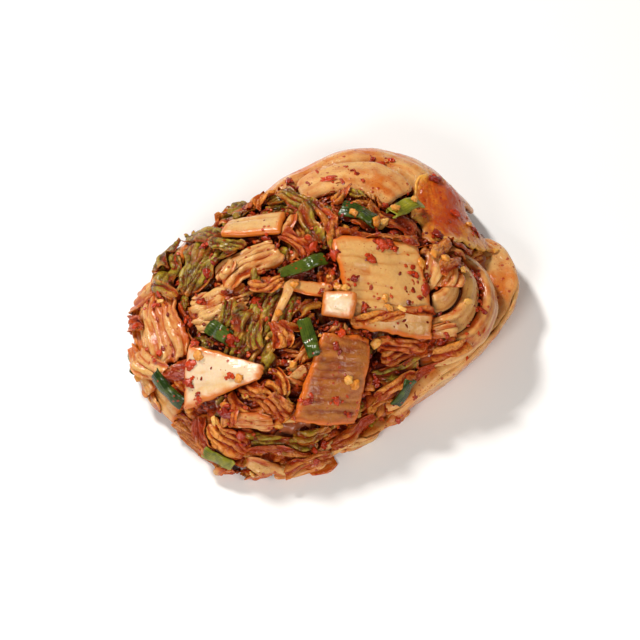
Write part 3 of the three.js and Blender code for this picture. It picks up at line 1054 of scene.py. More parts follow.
class Workshop:
    """Makes finished objects with Blender's own modelling tools."""

    THICKNESS_LEVELS = 16

    @staticmethod
    def select_only(obj: bpy.types.Object) -> None:
        """Selects one object and nothing else.

        Args:
            obj: The object.
        """
        bpy.ops.object.select_all(action="DESELECT")
        bpy.context.view_layer.objects.active = obj
        obj.select_set(True)

    @staticmethod
    def apply(obj: bpy.types.Object, kind: str, **settings: object) -> None:
        """Adds a modifier and applies it.

        Args:
            obj: The object.
            kind: The modifier's type.
            settings: Its properties.
        """
        modifier = obj.modifiers.new(kind.lower(), kind)
        for name, value in settings.items():
            setattr(modifier, name, value)
        Workshop.select_only(obj)
        bpy.ops.object.modifier_apply(modifier=modifier.name)

    @staticmethod
    def keep_marks(mesh: bpy.types.Mesh, marks: dict[str, Grid]) -> None:
        """Writes numbers of each point into the mesh.

        Args:
            mesh: The mesh.
            marks: The numbers by name.
        """
        for name, values in marks.items():
            kept = mesh.attributes.get(name) or mesh.attributes.new(name, "FLOAT", "POINT")
            kept.data.foreach_set("value", np.asarray(values, dtype=np.float32).ravel())

    @staticmethod
    def sheet(name: str, sheet: Sheet, smooth: int) -> bpy.types.Object:
        """A closed sheet with rounded edges from its middle face.

        Args:
            name: The object's name.
            sheet: The middle face and its thickness.
            smooth: Levels of subdivision.

        Returns:
            The new object.
        """
        rows, columns = sheet.points.shape[:2]
        bpy.ops.object.select_all(action="DESELECT")
        bpy.ops.mesh.primitive_grid_add(x_subdivisions=columns - 1, y_subdivisions=rows - 1, size=2)
        obj = bpy.context.object
        obj.name = obj.data.name = name
        obj.data.vertices.foreach_set("co", (sheet.points * MM).astype(np.float32).ravel())
        Workshop.keep_marks(obj.data, sheet.marks)
        obj.data.update()
        inward = np.clip(sheet.rim_distance() / (0.6 * sheet.thick), 0, 1)
        levels = np.rint(np.sqrt(1 - (1 - inward) ** 2) * Workshop.THICKNESS_LEVELS).astype(int).ravel()
        group = obj.vertex_groups.new(name="fullness")
        for level in np.unique(levels):
            group.add(np.flatnonzero(levels == level).tolist(), level / Workshop.THICKNESS_LEVELS, "REPLACE")
        Workshop.apply(
            obj, "SOLIDIFY", thickness=sheet.thick * MM, offset=0.0, use_quality_normals=True,
            vertex_group="fullness", thickness_vertex_group=0.35,
        )
        if smooth:
            Workshop.apply(obj, "SUBSURF", levels=smooth, render_levels=smooth)
        obj.vertex_groups.clear()
        Workshop.select_only(obj)
        bpy.ops.object.shade_smooth()
        return obj

    @staticmethod
    def joined(name: str, points: Grid, faces: Grid, marks: dict[str, Grid]) -> bpy.types.Object:
        """Many small things as one mesh, from their points in millimetres and triangles or squares.

        Args:
            name: The object's name.
            points: All their points.
            faces: The numbers of their corners.
            marks: The numbers kept for each point.

        Returns:
            The new object.
        """
        mesh = bpy.data.meshes.new(name)
        mesh.vertices.add(len(points))
        mesh.vertices.foreach_set("co", (points * MM).astype(np.float32).ravel())
        corners = faces.shape[1]
        mesh.loops.add(faces.size)
        mesh.loops.foreach_set("vertex_index", faces.astype(np.int32).ravel())
        mesh.polygons.add(len(faces))
        mesh.polygons.foreach_set("loop_start", np.arange(0, faces.size, corners, dtype=np.int32))
        mesh.update(calc_edges=True)
        mesh.validate()
        Workshop.keep_marks(mesh, marks)
        obj = bpy.data.objects.new(name, mesh)
        bpy.context.collection.objects.link(obj)
        Workshop.select_only(obj)
        bpy.ops.object.shade_smooth()
        return obj


@dataclass
class Kitchen:
    """What every sub-assembly shares.

    heap is what lies there so far, lids the undersides of the pieces that lie on top of all, and
    covers those of all larger pieces.
    """

    shape: HeapShape = field(default_factory=HeapShape)
    view: View = field(default_factory=View)
    heap: ReachMap = field(default_factory=ReachMap)
    lids: ReachMap = field(default_factory=lambda: ReachMap(start=OPEN_SKY))
    covers: ReachMap = field(default_factory=lambda: ReachMap(start=OPEN_SKY))
    noise: Noise = field(default_factory=lambda: Noise(NOISE_SEED))
    random: np.random.Generator = field(default_factory=lambda: np.random.default_rng(DRAW_SEED))
    pieces: list[bpy.types.Object] = field(default_factory=list)

    def reserve(self, faces: Iterable[Face], below: float, *maps: ReachMap) -> None:
        """Keeps room for faces, to that depth below each, in the maps.

        Args:
            faces: The faces.
            below: The depth in millimetres.
            maps: The maps.
        """
        for face in faces:
            s, t, _ = face.grid(self.shape, 0.5)
            points = face.surface(self.shape, 0.97 * s, 0.97 * t)
            for room in maps:
                room.lower(points - unit(points - room.centre) * below)

    def serve(self, obj: bpy.types.Object, finish: Finish, slot: str, *nodes: str) -> None:
        """Dresses a piece and joins it to the frame.

        Args:
            obj: The piece.
            finish: Its finish.
            slot: Its material slot; not used.
            nodes: The nodes that it replaces.
        """
        obj.data.materials.clear()
        obj.data.materials.append(finish.material())
        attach(obj, "root")
        if nodes:
            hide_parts(*nodes)
        self.pieces.append(obj)
        log.info("%s: %d points, %s", obj.name, len(obj.data.vertices), finish.name)

    def folded(self, face: Face, folding: Folding, thick: float, cell: float | tuple[int, int], shift: float,
               rest: tuple[float, float, float]) -> Sheet:
        """A leaf that is folded, laid along a face and let down on what lies there.

        Args:
            face: Where it lies.
            folding: How it folds.
            thick: Its thickness.
            cell: Size of its cells, or its numbers of rows and columns.
            shift: Sets its folds apart from other leaves'.
            rest: Width of the bumps that it bridges, its gap to them and how far it may sink.

        Returns:
            The leaf's sheet.
        """
        size = face.extent(self.shape)
        cells = cell if isinstance(cell, tuple) else (
            round(size[1] * folding.fullness[1] / cell) + 1, round(size[0] * folding.fullness[0] / cell) + 1)
        leaf = folding.fold(size, cells, shift)
        place = np.stack([*lattice(*cells), np.zeros(cells)], axis=-1) * (size[0] / 2, size[1] / 2, 1) + shift
        longer = 1 + 0.13 * self.noise(place + 5, (9.0, 4.5, 9.0)) + 0.06 * self.noise(place, 1.8)
        wider = 1 + 0.14 * self.noise(place + 25, (7.0, 9.0, 9.0)) + 0.05 * self.noise(place + 70, 2.4)
        s, t = blunted(2 * leaf[..., 0] / size[0] * longer, 2 * leaf[..., 1] / size[1] * wider)
        middle = face.surface(self.shape, s, t)
        ahead, aside = face.surface(self.shape, s + 0.02, t), face.surface(self.shape, s, t + 0.02)
        out = unit(np.cross(ahead - middle, aside - middle))
        # Fold valleys are marked for sauce and painted shade in the finish.
        crease = np.clip(0.32 - 1.1 * leaf[..., 2] / folding.height, 0, 1) * 0.85
        sheet = Sheet(middle, thick, {"crease": crease})
        sheet.rest_on(self.heap, *rest)
        sheet.points = sheet.points + out * leaf[..., 2:]
        return sheet

    def complete(self, sheet: Sheet, rim: float = 2.2) -> None:
        """Adds the marks that a sheet still lacks.

        Args:
            sheet: The sheet.
            rim: Width of its stained rim.
        """
        sheet.points[..., 2] = np.maximum(sheet.points[..., 2], GROUND_GAP + sheet.thick / 2)
        zero = np.zeros(sheet.points.shape[:2])
        sheet.marks.setdefault("green", zero)
        sheet.marks.setdefault("groove", zero)
        sheet.marks.setdefault("tint", zero + self.random.random())
        sheet.marks["edge"] = np.exp(-sheet.rim_distance() / rim)
        row, column = np.mgrid[0:sheet.points.shape[0], 0:sheet.points.shape[1]]
        shift = 300 * self.random.random()
        sheet.marks.setdefault("along", (column * sheet.cell[1] + shift) * MM)
        sheet.marks.setdefault("across", (row * sheet.cell[0] + shift) * MM)
        sheet.mark_creases(1.5, 1.1)

    def lay(
        self, name: str, sheet: Sheet, finish: Finish, slot: str, smooth: int = 1,
        nodes: tuple[str, ...] = (), rim: float = 2.2,
    ) -> None:
        """Makes a sheet an object, dresses it and lets it count for what is laid on top.

        Args:
            name: The object's name.
            sheet: The sheet.
            finish: Its finish.
            slot: Its material slot.
            smooth: Levels of subdivision.
            nodes: The nodes that it replaces.
            rim: Width of its stained rim.
        """
        self.complete(sheet, rim)
        half = sheet.sides()[2] * sheet.thick / 2
        for face in (sheet.points - half, sheet.points + half):
            self.heap.add(face)
        self.serve(Workshop.sheet(name, sheet, smooth), finish, slot, *nodes)

    def mark_hollows(self) -> None:
        """Marks in every mesh how far each point lies under the heap's general surface, where the finishes
        paint shade over pooled sauce.
        """
        wide, near = soften(self.heap.reach, 22, 22), soften(self.heap.reach, 7, 7)
        for obj in self.pieces:
            points = np.empty(len(obj.data.vertices) * 3, dtype=np.float32)
            obj.data.vertices.foreach_get("co", points)
            points = points.reshape(-1, 3).astype(float) / MM
            broad, distance = self.heap.read(points, wide)
            close, _ = self.heap.read(points, near)
            deep = np.clip((broad - distance - 1.5) / 6.0, 0, 1)
            deep = deep + np.clip((close - distance - 1.0) / 4.0, 0, 0.6)
            Workshop.keep_marks(obj.data, {"hollow": np.clip(deep, 0, 1)})


# The parts of the heap.
@dataclass
class Assembly:
    """A part of the heap. All keep their rooms first, and are then built in turn."""

    kitchen: Kitchen

    def reserve(self) -> None:
        """Needs no room of its own."""

    def build(self) -> None:
        """Makes its pieces."""
        raise NotImplementedError


@dataclass
class PieceTable(Assembly):
    """An assembly with its pieces in a table, by the names of their nodes."""

    table: dict[str, object]
    on_top: bool = False

    @property
    def rooms(self) -> list[ReachMap]:
        """The maps that its room is kept in, both of them where it lies on top of all."""
        return [self.kitchen.covers] + ([self.kitchen.lids] if self.on_top else [])

    def build(self) -> None:
        """Makes each piece of the table."""
        for name, looks in self.table.items():
            self.piece(name, looks)

    def piece(self, name: str, looks: object) -> None:
        """Makes one piece."""
        raise NotImplementedError


# The core.
@dataclass
class Core(Assembly):
    """The fine cuts that the heap's larger pieces lie on."""

    depth: float = 8.5
    folds: float = 2.2
    segments: int = 240
    rings: int = 150

    def build(self) -> None:
        """Shapes a ball into the crumpled dome with its flat underside."""
        shape, noise = self.kitchen.shape, self.kitchen.noise
        bpy.ops.object.select_all(action="DESELECT")
        bpy.ops.mesh.primitive_uv_sphere_add(segments=self.segments, ring_count=self.rings, radius=1.0)
        obj = bpy.context.object
        obj.name = obj.data.name = "kimchi_heap_core"
        ball = np.empty(len(obj.data.vertices) * 3, dtype=np.float32)
        obj.data.vertices.foreach_get("co", ball)
        ball = ball.reshape(-1, 3).astype(float)
        angle = np.arctan2(ball[:, 1], ball[:, 0])
        tilt = np.arccos(np.clip(ball[:, 2], -1, 1)) / (math.pi / 2)
        upper = tilt <= 1
        share = np.where(upper, np.clip(tilt, 0, 1) ** 0.85, np.clip(2 - tilt, 0, 1))
        dome = shape.dome(np.minimum(share, 1)) - self.depth * (1 - share**6)
        height = np.where(upper, dome, GROUND_GAP)
        degrees = np.degrees(angle) % 360
        leafy = (degrees < RIGHT_LEAVES[1]) | (degrees > RIGHT_LEAVES[0])
        # It stays further inside the footprint at the foot of the standing leaves.
        inset = np.where(leafy, mixed(9.0, 4.0, np.clip(height / 16, 0, 1)), 4.0)
        radius = share * (shape.footprint(angle) - inset)
        height = np.maximum(height, GROUND_GAP)
        points = np.stack([radius * np.cos(angle), radius * np.sin(angle), height], axis=-1)
        wrinkled = noise.puckers(points, 7.0) + 0.5 * noise.puckers(points + 31, 3.2)
        swell = np.clip(height / 6, 0, 1) * np.where(upper, 1, 0)
        points = points + unit(points + np.array([0, 0, 10.0])) * (self.folds * wrinkled * swell)[:, None]
        points[:, 2] = np.maximum(points[:, 2], GROUND_GAP)
        obj.data.vertices.foreach_set("co", (points * MM).astype(np.float32).ravel())
        obj.data.update()
        bpy.ops.object.shade_smooth()
        Workshop.keep_marks(obj.data, {
            "edge": np.zeros(len(points)),
            # Hollows between the puckers are marked for sauce and painted shade in the finish.
            "crease": np.clip(0.5 - wrinkled, 0, 1),
            "green": np.clip(noise(points, 18) * 1.4 - 0.35, 0, 1),
            "groove": np.zeros(len(points)),
            "tint": noise(points, 11) * 0.5 + 0.5,
        })
        self.kitchen.heap.add(points[upper])
        self.kitchen.serve(obj, Finish.CORE, "fine_cuts", "heap_core")


# Smooth leaves.
WALL_LEAVES = {
    "outer_leaf_right": Band(
        26, -62, (0.89, 0.2), (0.99, 18), (0, 9), -2, (3, 0.7), 2.8, flare=(0, 0.03)),
    "outer_leaf_low_right": Band(-52, -84, (0.8, 3), (1.02, 6.4), (0.6, 2), 0, (2, 0.6), 2.2),
    "outer_leaf_low_front": Band(-88, -104, (0.84, 2.6), (1.06, 4.4), (0, 0), 0, (2, 0.5), 2.2),
}
# A leaf inside the standing one, which closes the gap to the heap.
LINING_LEAVES = {
    "lining_leaf_right": Band(
        26, -62, (0.76, 16.5), (0.99, 18.6), (3, 9), 0.8, (3, 0.7), 1.8, flare=(0, 0.03)),
}
COVER_LEAVES = {
    "outer_leaf_back": Band(
        36, 119, (1.0, 0.2), (0.66, 33), (0, 5), 13, (3, 0.5), 2.6, flare=(-0.022, 0.012)),
    "inner_leaf_back": Band(46, 104, (0.46, 42), (0.69, 38), (1, 2.5), 0.8, (0, 0), 2.4),
}


@dataclass
class SmoothLeaves(PieceTable):
    """Smooth outer leaves with soft veins along them and uneven rims."""

    nodes: bool = True
    cell: float = 1.15
    vein: float = 0.11

    def reserve(self) -> None:
        """Keeps room for leaves that cover others."""
        if self.on_top:
            self.kitchen.reserve(self.table.values(), 1.8, *self.rooms)

    def piece(self, name: str, looks: Band) -> None:
        """One leaf.

        Args:
            name: Its node.
            looks: Its shape.
        """
        kitchen, noise, band = self.kitchen, self.kitchen.noise, looks
        s, t, flat = band.grid(kitchen.shape, self.cell)
        side = (t + 1) / 2
        rounded = t * (1 - 0.25 * np.abs(s) ** 14)
        sheet = Sheet(band.surface(kitchen.shape, s * (1 + 0.01 * noise(flat, 6.0)), rounded), band.thick)
        points = sheet.points
        lines = np.cos(flat[..., 1] * 1.1 + 2.6 * noise(flat + 40, (30.0, 12.0, 9.0)))
        swells = (1.0 * noise(points, 19.0) + 0.6 * noise(points, 9.0)) * (0.3 + 0.7 * side)
        relief = self.vein * lines + swells
        sheet.raise_by(relief + 0.2 * noise(points, 4.0), 0.9 * noise(points + 40, 8.0) * side)
        strength = np.clip(0.3 + 1.2 * noise(flat + 15, (24.0, 7.0, 9.0)), 0, 1)
        sheet.marks["groove"] = np.clip(-lines, 0, 1) ** 2 * 0.2 * strength
        sheet.marks["green"] = np.clip(noise(points + 9, 26.0) - 0.5, 0, 1) * 0.3
        nodes = (name,) if self.nodes else ()
        kitchen.lay(f"kimchi_{name}", sheet, Finish.OUTER_LEAF, "outer_leaf", 1, nodes)


# Stems.
@dataclass(frozen=True)
class Stem:
    """How a cut of stem looks: its place, thickness, width and height of its ribs, and finish.

    The ribs run along its length, or across it.
    """

    patch: Patch
    thick: float
    rib: tuple[float, float]
    finish: Finish
    slot: str = "stem"
    stiffness: float = 16.0
    across: bool = False


REAR_SLICES = {
    "stem_slice_rear_left": Stem(
        Patch((-57, 17), 100, (22, 20), 1.2, 0, (1.6, 1.6), (1, 0.7)), 2.8, (4, 0.35), Finish.STEM),
    "stem_slice_low_left": Stem(
        Patch((-59, -43), -52, (17, 14), 1.2, 0, (1, 1), (1, 0.8)), 2.6, (4, 0.25), Finish.STEM),
}
TOP_SLICES = {
    "stem_slice_back": Stem(
        Patch((-25, 15), -12, (23, 13), 2.4, 0, (0.8, 0.5), (0.8, 1), 1), 2.8, (4.4, 0.2),
        Finish.CREAM_STEM, "white_stem"),
    "stem_slice_front": Stem(
        Patch((5, -46), -84, (35, 27), 3.2, 0, (2.6, 2), (0.72, 1), -2), 3.0, (4.0, 0.3),
        Finish.BROWN_STEM, across=True),
    "stem_slice_white": Stem(
        Patch((-36, -44), -7, (32, 27), 3.6, 0, (1.4, 1), (1, 0.16), 3), 3.8, (12, 0.25),
        Finish.WHITE_STEM, "white_stem"),
    "stem_slice_large": Stem(
        Patch((23, -12), 11, (33, 40), 4.4, 5, (1.6, 2.6), (0.9, 1), -4), 3.2, (4.3, 0.3),
        Finish.STEM, "stem", 22),
    "stem_chunk": Stem(
        Patch((6, -22), -8, (12, 9), 3, 0, (0.2, 1.6)), 4.2, (3, 0.3), Finish.WHITE_STEM, "white_stem", 10),
}


@dataclass
class StemSlices(PieceTable):
    """Thick cuts of stem with soft ribs, wavy cut edges and stained rims."""

    cell: float = 0.66

    def reserve(self) -> None:
        """Keeps room for the slices."""
        self.kitchen.reserve([stem.patch for stem in self.table.values()], 2.4, *self.rooms)

    def piece(self, name: str, looks: Stem) -> None:
        """One slice.

        Args:
            name: Its node.
            looks: Its place and shape.
        """
        kitchen, noise, stem, patch = self.kitchen, self.kitchen.noise, looks, looks.patch
        s, t, flat = patch.grid(kitchen.shape, self.cell)
        if stem.across:
            flat = flat[..., [1, 0, 2]]
        flat = flat + 7.0 * len(name)
        ragged_s = s * (1 + (0.06 - 0.02 * s) * noise(flat + 5, 6.0) + 0.03 * noise(flat, 2.6))
        ragged_t = t * (1 + 0.05 * noise(flat + 9, 7.0) + 0.025 * noise(flat + 3, 2.6))
        sheet = Sheet(patch.surface(kitchen.shape, *blunted(ragged_s, ragged_t, 0.05, 0.05)), stem.thick)
        sheet.rest_on(kitchen.heap, stem.stiffness, stem.thick / 2 + 0.2, 1.0)
        width, height = stem.rib
        phase = flat[..., 1] / width + 0.7 * noise(flat, (24.0, 9.0, 9.0))
        crest = 1 - np.abs(2 * (phase - np.floor(phase)) - 1)
        strength = np.clip(0.45 + 1.1 * noise(flat + 31, (18.0, 6.0, 9.0)), 0, 1.2)
        relief = height * np.sin(crest * np.pi / 2) * (0.4 + strength) + 1.3 * noise(flat, 14.0)
        sheet.raise_by(relief + 0.16 * noise(flat + 77, (9.0, 1.5, 9.0)) + 0.2 * noise(flat + 12, 4.0))
        if not self.on_top:
            sheet.stay_under(kitchen.lids, stem.thick / 2)
        sheet.marks["groove"] = np.clip(1 - 1.25 * crest, 0, 1) ** 1.3 * np.clip(strength, 0, 1)
        sheet.marks["along"], sheet.marks["across"] = flat[..., 0] * MM, flat[..., 1] * MM
        kitchen.lay(f"kimchi_{name}", sheet, stem.finish, stem.slot, 1, (name,), 3.6)


STEM_CENTRE = (41.0, -7.0)
NESTED_STEMS = {
    "stem_arc_outer": Band(80, -100, (20, 25.5), (26, 22), (2, 4), 4.8, (0, 0), 2.4, STEM_CENTRE),
    "stem_arc_middle": Band(88, -92, (12.8, 31), (18.8, 28.5), (0, 2), 5.0, (0, 0), 2.4, STEM_CENTRE),
    "stem_arc_inner": Band(96, -84, (5.6, 36), (11.4, 33.5), (0, 0), 5.0, (0, 0), 2.4, STEM_CENTRE),
}


@dataclass
class NestedStems(PieceTable):
    """Stem ends of one cabbage quarter, nested in each other like bowls with rolled rims."""

    cell: float = 0.75

    def reserve(self) -> None:
        """Keeps room for the bowls."""
        self.kitchen.reserve(self.table.values(), 1.8, *self.rooms)

    def piece(self, name: str, looks: Band) -> None:
        """One bowl wall.

        Args:
            name: Its node.
            looks: Its shape.
        """
        kitchen, noise, band = self.kitchen, self.kitchen.noise, looks
        s, t, flat = band.grid(kitchen.shape, self.cell, 1.4)
        side = (t + 1) / 2
        sheet = Sheet(band.surface(kitchen.shape, s, t), band.thick)
        points = sheet.points
        folds = 0.9 * noise(points, (14.0, 14.0, 30.0)) * side + 0.3 * noise(points, 5.5)
        ribs = np.cos(flat[..., 1] * 2.1 + 2 * noise(points + 4, 16.0))
        sheet.raise_by(folds + 0.12 * ribs)
        sheet.points[..., 2] += 0.9 * noise(points + 90, 11.0) * side
        sheet.marks["groove"] = np.clip(-ribs, 0, 1) ** 2 * np.clip(0.3 + noise(points + 50, 12.0), 0, 0.7)
        # The inner, lower side of each wall is marked dark: painted shade between the nested walls, over
        # sauce.
        sheet.marks["crease"] = np.clip(0.75 - 1.5 * side + 0.3 * noise(points + 70, 9.0), 0, 0.9)
        kitchen.lay(f"kimchi_{name}", sheet, Finish.NESTED, "stem", 1, (name,))


# Crumpled leaves.
@dataclass(frozen=True)
class Fold:
    """How a folded leaf looks: its place, its folds, and how green it is at either end.

    folds is their width and height, full how many times longer and wider the leaf is than its place.
    """

    patch: Patch
    folds: tuple[float, float]
    full: tuple[float, float]
    green: tuple[float, float]
    finish: Finish
    slot: str = "leaf"
    thick: float = 0.8
    roundness: float = 0.06
    stiffness: float = 5.0
    rim: float = 2.2


REAR_LEAVES = {
    "leaf_rear_left": Fold(
        Patch((-38.5, 29.5), 30, (26, 14), 0.8, 0, (2, 2)), (3.4, 2.6), (1.07, 1.65), (0, 0.5), Finish.LEAF),
}
LEAF_BUNDLES = {
    "rib_leaf_front": Fold(
        Patch((-46, -60), -62, (27, 13), 1, 0, (1.4, 1)), (3, 2.2), (1.08, 1.5), (0, 0.1), Finish.BROWN_LEAF),
    "curled_leaf_front": Fold(
        Patch((-31, -64), -24, (20, 12), 1, 0, (1.4, 1.6)), (3.6, 3), (1.1, 1.75), (0, 0.6), Finish.LEAF),
    "pleated_leaf_front": Fold(
        Patch((-24, -56), 20, (27, 18), 2.8, 0, (1.6, 1.6), (0.6, 1)), (4.2, 3.4), (1.06, 1.6), (0, 0),
        Finish.DRAPED_LEAF, "leaf", 1.0, 0.12),
    "leaf_under_slice": Fold(
        Patch((34, -29), 18, (27, 10), 1.6, 0, (1, 1)), (3, 2.2), (1.1, 1.6), (0, 0.2), Finish.BROWN_LEAF),
    "curled_leaf_right": Fold(
        Patch((44, 0), 80, (19, 14), 1.0, 0, (1.2, 2.2)), (4.6, 3.2), (1.1, 1.7), (0, 0), Finish.RIB,
        "leaf", 1.0, 0.1),
    "green_leaf_middle": Fold(
        Patch((-3, 11), -62, (19, 14), 1.4, 0, (1, 1)), (3, 2.6), (1.1, 1.75), (0.5, 0.4), Finish.GREEN_LEAF,
        "green_leaf"),
    "green_leaf_back": Fold(
        Patch((-12, 26), -12, (20, 12), 2, 0, (1.2, 1.6)), (3.2, 2.6), (1.1, 1.75), (0.7, 0.7),
        Finish.GREEN_LEAF, "green_leaf"),
    "ribbed_leaf_back": Fold(
        Patch((15, 30), 88, (14, 14), 2.4, 0, (1, 1), (0.6, 1)), (2.6, 2), (1.05, 1.6), (0.2, 0.5),
        Finish.LEAF),
    "green_leaf_centre": Fold(
        Patch((-23, -29), 56, (36, 18), 1.2, 0, (1.6, 1.4)), (4.6, 3.8), (1.08, 1.75), (0.7, 0.9),
        Finish.GREEN_LEAF, "green_leaf"),
    "wrinkled_leaf_left": Fold(
        Patch((-39, -18), 15, (24, 16), 1.4, 0, (1, 1.4)), (3.8, 2.4), (1.12, 1.6), (0, 0), Finish.RIB),
    "rib_fan_left": Fold(
        Patch((-64, -17), -78, (39, 28), 1.6, 0, (3.4, 2), (0.8, 1)), (5, 3.4), (1.05, 1.5), (0, 0),
        Finish.RIB, "stem", 1.5, 0.13),
    "flat_strip_middle": Fold(
        Patch((-12, -13), -11, (32, 7), 2.2, 0, (1, 0.3), (0.7, 1)), (7, 1.2), (1.05, 1.12), (0, 0),
        Finish.STEM, "stem", 1.4, 0.15),
    "folded_stem_left": Fold(
        Patch((-27, -3), 30, (26, 14), 2.8, 0, (1.8, 2.2), bend=1.6), (4.6, 4.4), (1.08, 1.7), (0, 0.1),
        Finish.RIB, "stem", 1.3, 0.12),
    "green_bundle_left": Fold(
        Patch((-46, 3), 60, (29, 33), 2.8, 0, (3, 4.5), (0.3, 1)), (5, 4.6), (1.08, 1.8), (0.75, 0.85),
        Finish.GREEN_LEAF, "green_leaf"),
}
DRAPED_LEAVES = {
    "draped_leaf": Fold(
        Patch((50.5, 31.5), -69, (31, 45), 1.6, 0, (4, 6.5), (0.45, 1)), (13, 1.8), (1.03, 1.1), (0, 0),
        Finish.DRAPED_LEAF, "outer_leaf", 1.5, 0.16, 7, 4.5),
}


@dataclass
class LeafBundles(PieceTable):
    """Leaves and stems folded along their length."""

    cell: float = 0.5
    coarse: float = 0.8

    def reserve(self) -> None:
        """Keeps room for the leaves."""
        for fold in self.table.values():
            self.kitchen.reserve([fold.patch], 1.0 + 0.5 * fold.folds[1], *self.rooms)

    def piece(self, name: str, looks: Fold) -> None:
        """One leaf, with its folds apart from other leaves'.

        Args:
            name: Its node.
            looks: Its place and folds.
        """
        kitchen, fold, sturdy = self.kitchen, looks, looks.thick > 1
        folding = Folding(kitchen.noise, fold.full, *fold.folds, fold.roundness)
        cell = self.coarse if sturdy else self.cell
        rest = (fold.stiffness, 0.2 + 0.4 * fold.folds[1], 1.6)
        sheet = kitchen.folded(fold.patch, folding, fold.thick, cell, len(name) * 3.7, rest)
        if not self.on_top:
            sheet.stay_under(kitchen.lids, 0.3)
        share = (lattice(*sheet.points.shape[:2])[0] + 1) / 2
        patches = kitchen.noise(sheet.points + 3, 6.0)
        sheet.marks["green"] = np.clip(mixed(*fold.green, share) + 0.5 * patches - 0.1, 0, 1)
        kitchen.lay(f"kimchi_{name}", sheet, fold.finish, fold.slot, int(sturdy), (name,), fold.rim)


LEAF_LAYERS = {
    "leaf_layer_1": Band(-34, -76, (0.66, 25.5), (0.84, 23), (0, 0), 0, (4, 0.8), 1.2),
    "leaf_layer_2": Band(-38, -90, (0.7, 20.5), (0.9, 17.5), (0, 0), 0, (5, 0.8), 1.2),
    "leaf_layer_3": Band(-42, -106, (0.74, 14.5), (0.95, 11.5), (0, 0), 0, (6, 0.8), 1.2),
    "leaf_layer_4": Band(-92, -124, (0.8, 9), (1.0, 6.5), (0, 0), 0, (4, 0.7), 1.2),
}
# Thin leaves between those layers, of which only the wavy edges show.
THIN_LAYERS = {
    "thin_layer_1": Band(-36, -80, (0.68, 23.5), (0.86, 20.5), (0, 0), 0, (5, 0.9), 0.9),
    "thin_layer_2": Band(-40, -94, (0.72, 18), (0.92, 15), (0, 0), 0, (6, 0.9), 0.9),
    "thin_layer_3": Band(-46, -112, (0.77, 12), (0.96, 9.2), (0, 0), 0, (6, 0.9), 0.9),
    "thin_layer_4": Band(-58, -118, (0.8, 7.5), (0.99, 5), (0, 0), 0, (6, 0.8), 0.9),
}


@dataclass
class LeafLayers(Assembly):
    """Thin leaves stacked at the front, of which the wavy edges show."""

    cell: float = 0.5

    def reserve(self) -> None:
        """Keeps room for the stack."""
        self.kitchen.reserve(LEAF_LAYERS.values(), 1.2, self.kitchen.covers)

    def build(self) -> None:
        """Makes each leaf, from the lowest up."""
        bands = {**LEAF_LAYERS, **THIN_LAYERS}
        for number, (name, band) in enumerate(sorted(bands.items(), key=lambda entry: entry[1].inner[1])):
            self.layer(name, band, 7.0 * number)

    def layer(self, name: str, band: Band, shift: float) -> None:
        """One leaf with a ruffled edge.

        Args:
            name: Its node.
            band: Its shape.
            shift: Sets its ruffles apart.
        """
        kitchen, noise = self.kitchen, self.kitchen.noise
        s, t, flat = band.grid(kitchen.shape, self.cell)
        flat = flat + shift
        side = (t + 1) / 2
        sheet = Sheet(band.surface(kitchen.shape, s, t), band.thick)
        ruffle = (2.0 * noise(flat, (7.0, 12.0, 9.0)) + 1.1 * noise(flat + 40, (3.0, 8.0, 9.0))) * side
        ruffle = ruffle + 0.4 * noise.puckers(flat, (2.4, 4.0, 9.0)) * side
        sheet.raise_by(ruffle, 1.8 * noise(flat + 30, (5.0, 9.0, 9.0)) * side)
        sheet.stay_under(kitchen.lids, 0.3)
        sheet.marks["green"] = np.clip(0.3 + 1.2 * noise(flat + 60, (15.0, 20.0, 9.0)), 0, 1)
        nodes = (name,) if name in LEAF_LAYERS else ()
        finish = Finish.BROWN_LEAF if int(shift) % 2 else Finish.LEAF
        kitchen.lay(f"kimchi_{name}", sheet, finish, "leaf", 0, nodes)


# Spring onion.
@dataclass(frozen=True)
class Onion:
    """A cut of spring onion leaf."""

    at: tuple[float, float]
    turn: float
    length: float
    width: float
    lift: float
    finish: Finish = Finish.ONION


ONION_LEAVES = {
    "onion_leaf_top": Onion((14, 18), -22, 14, 7, 3),
    "onion_stalk_top": Onion((32, 24), 38, 16, 5.4, 4, Finish.ONION_STALK),
    "onion_leaf_middle": Onion((-7, -6), 27, 19, 5, 3.4),
    "onion_leaf_centre": Onion((-5, -34), -72, 15, 5, 3),
    "onion_leaf_left": Onion((-38, -29), -35, 11, 5.6, 4.2),
    "onion_leaf_low_left": Onion((-54, -42), -65, 15, 5.6, 2.2),
    "onion_tip_left": Onion((-72, -23.5), -40, 11, 4, 0.6, Finish.ONION_STALK),
    "onion_leaf_low": Onion((-37, -65), -52, 12, 5, 1.6, Finish.ONION_STALK),
    "onion_leaf_right": Onion((29, -42), -75, 11, 5, 2),
}


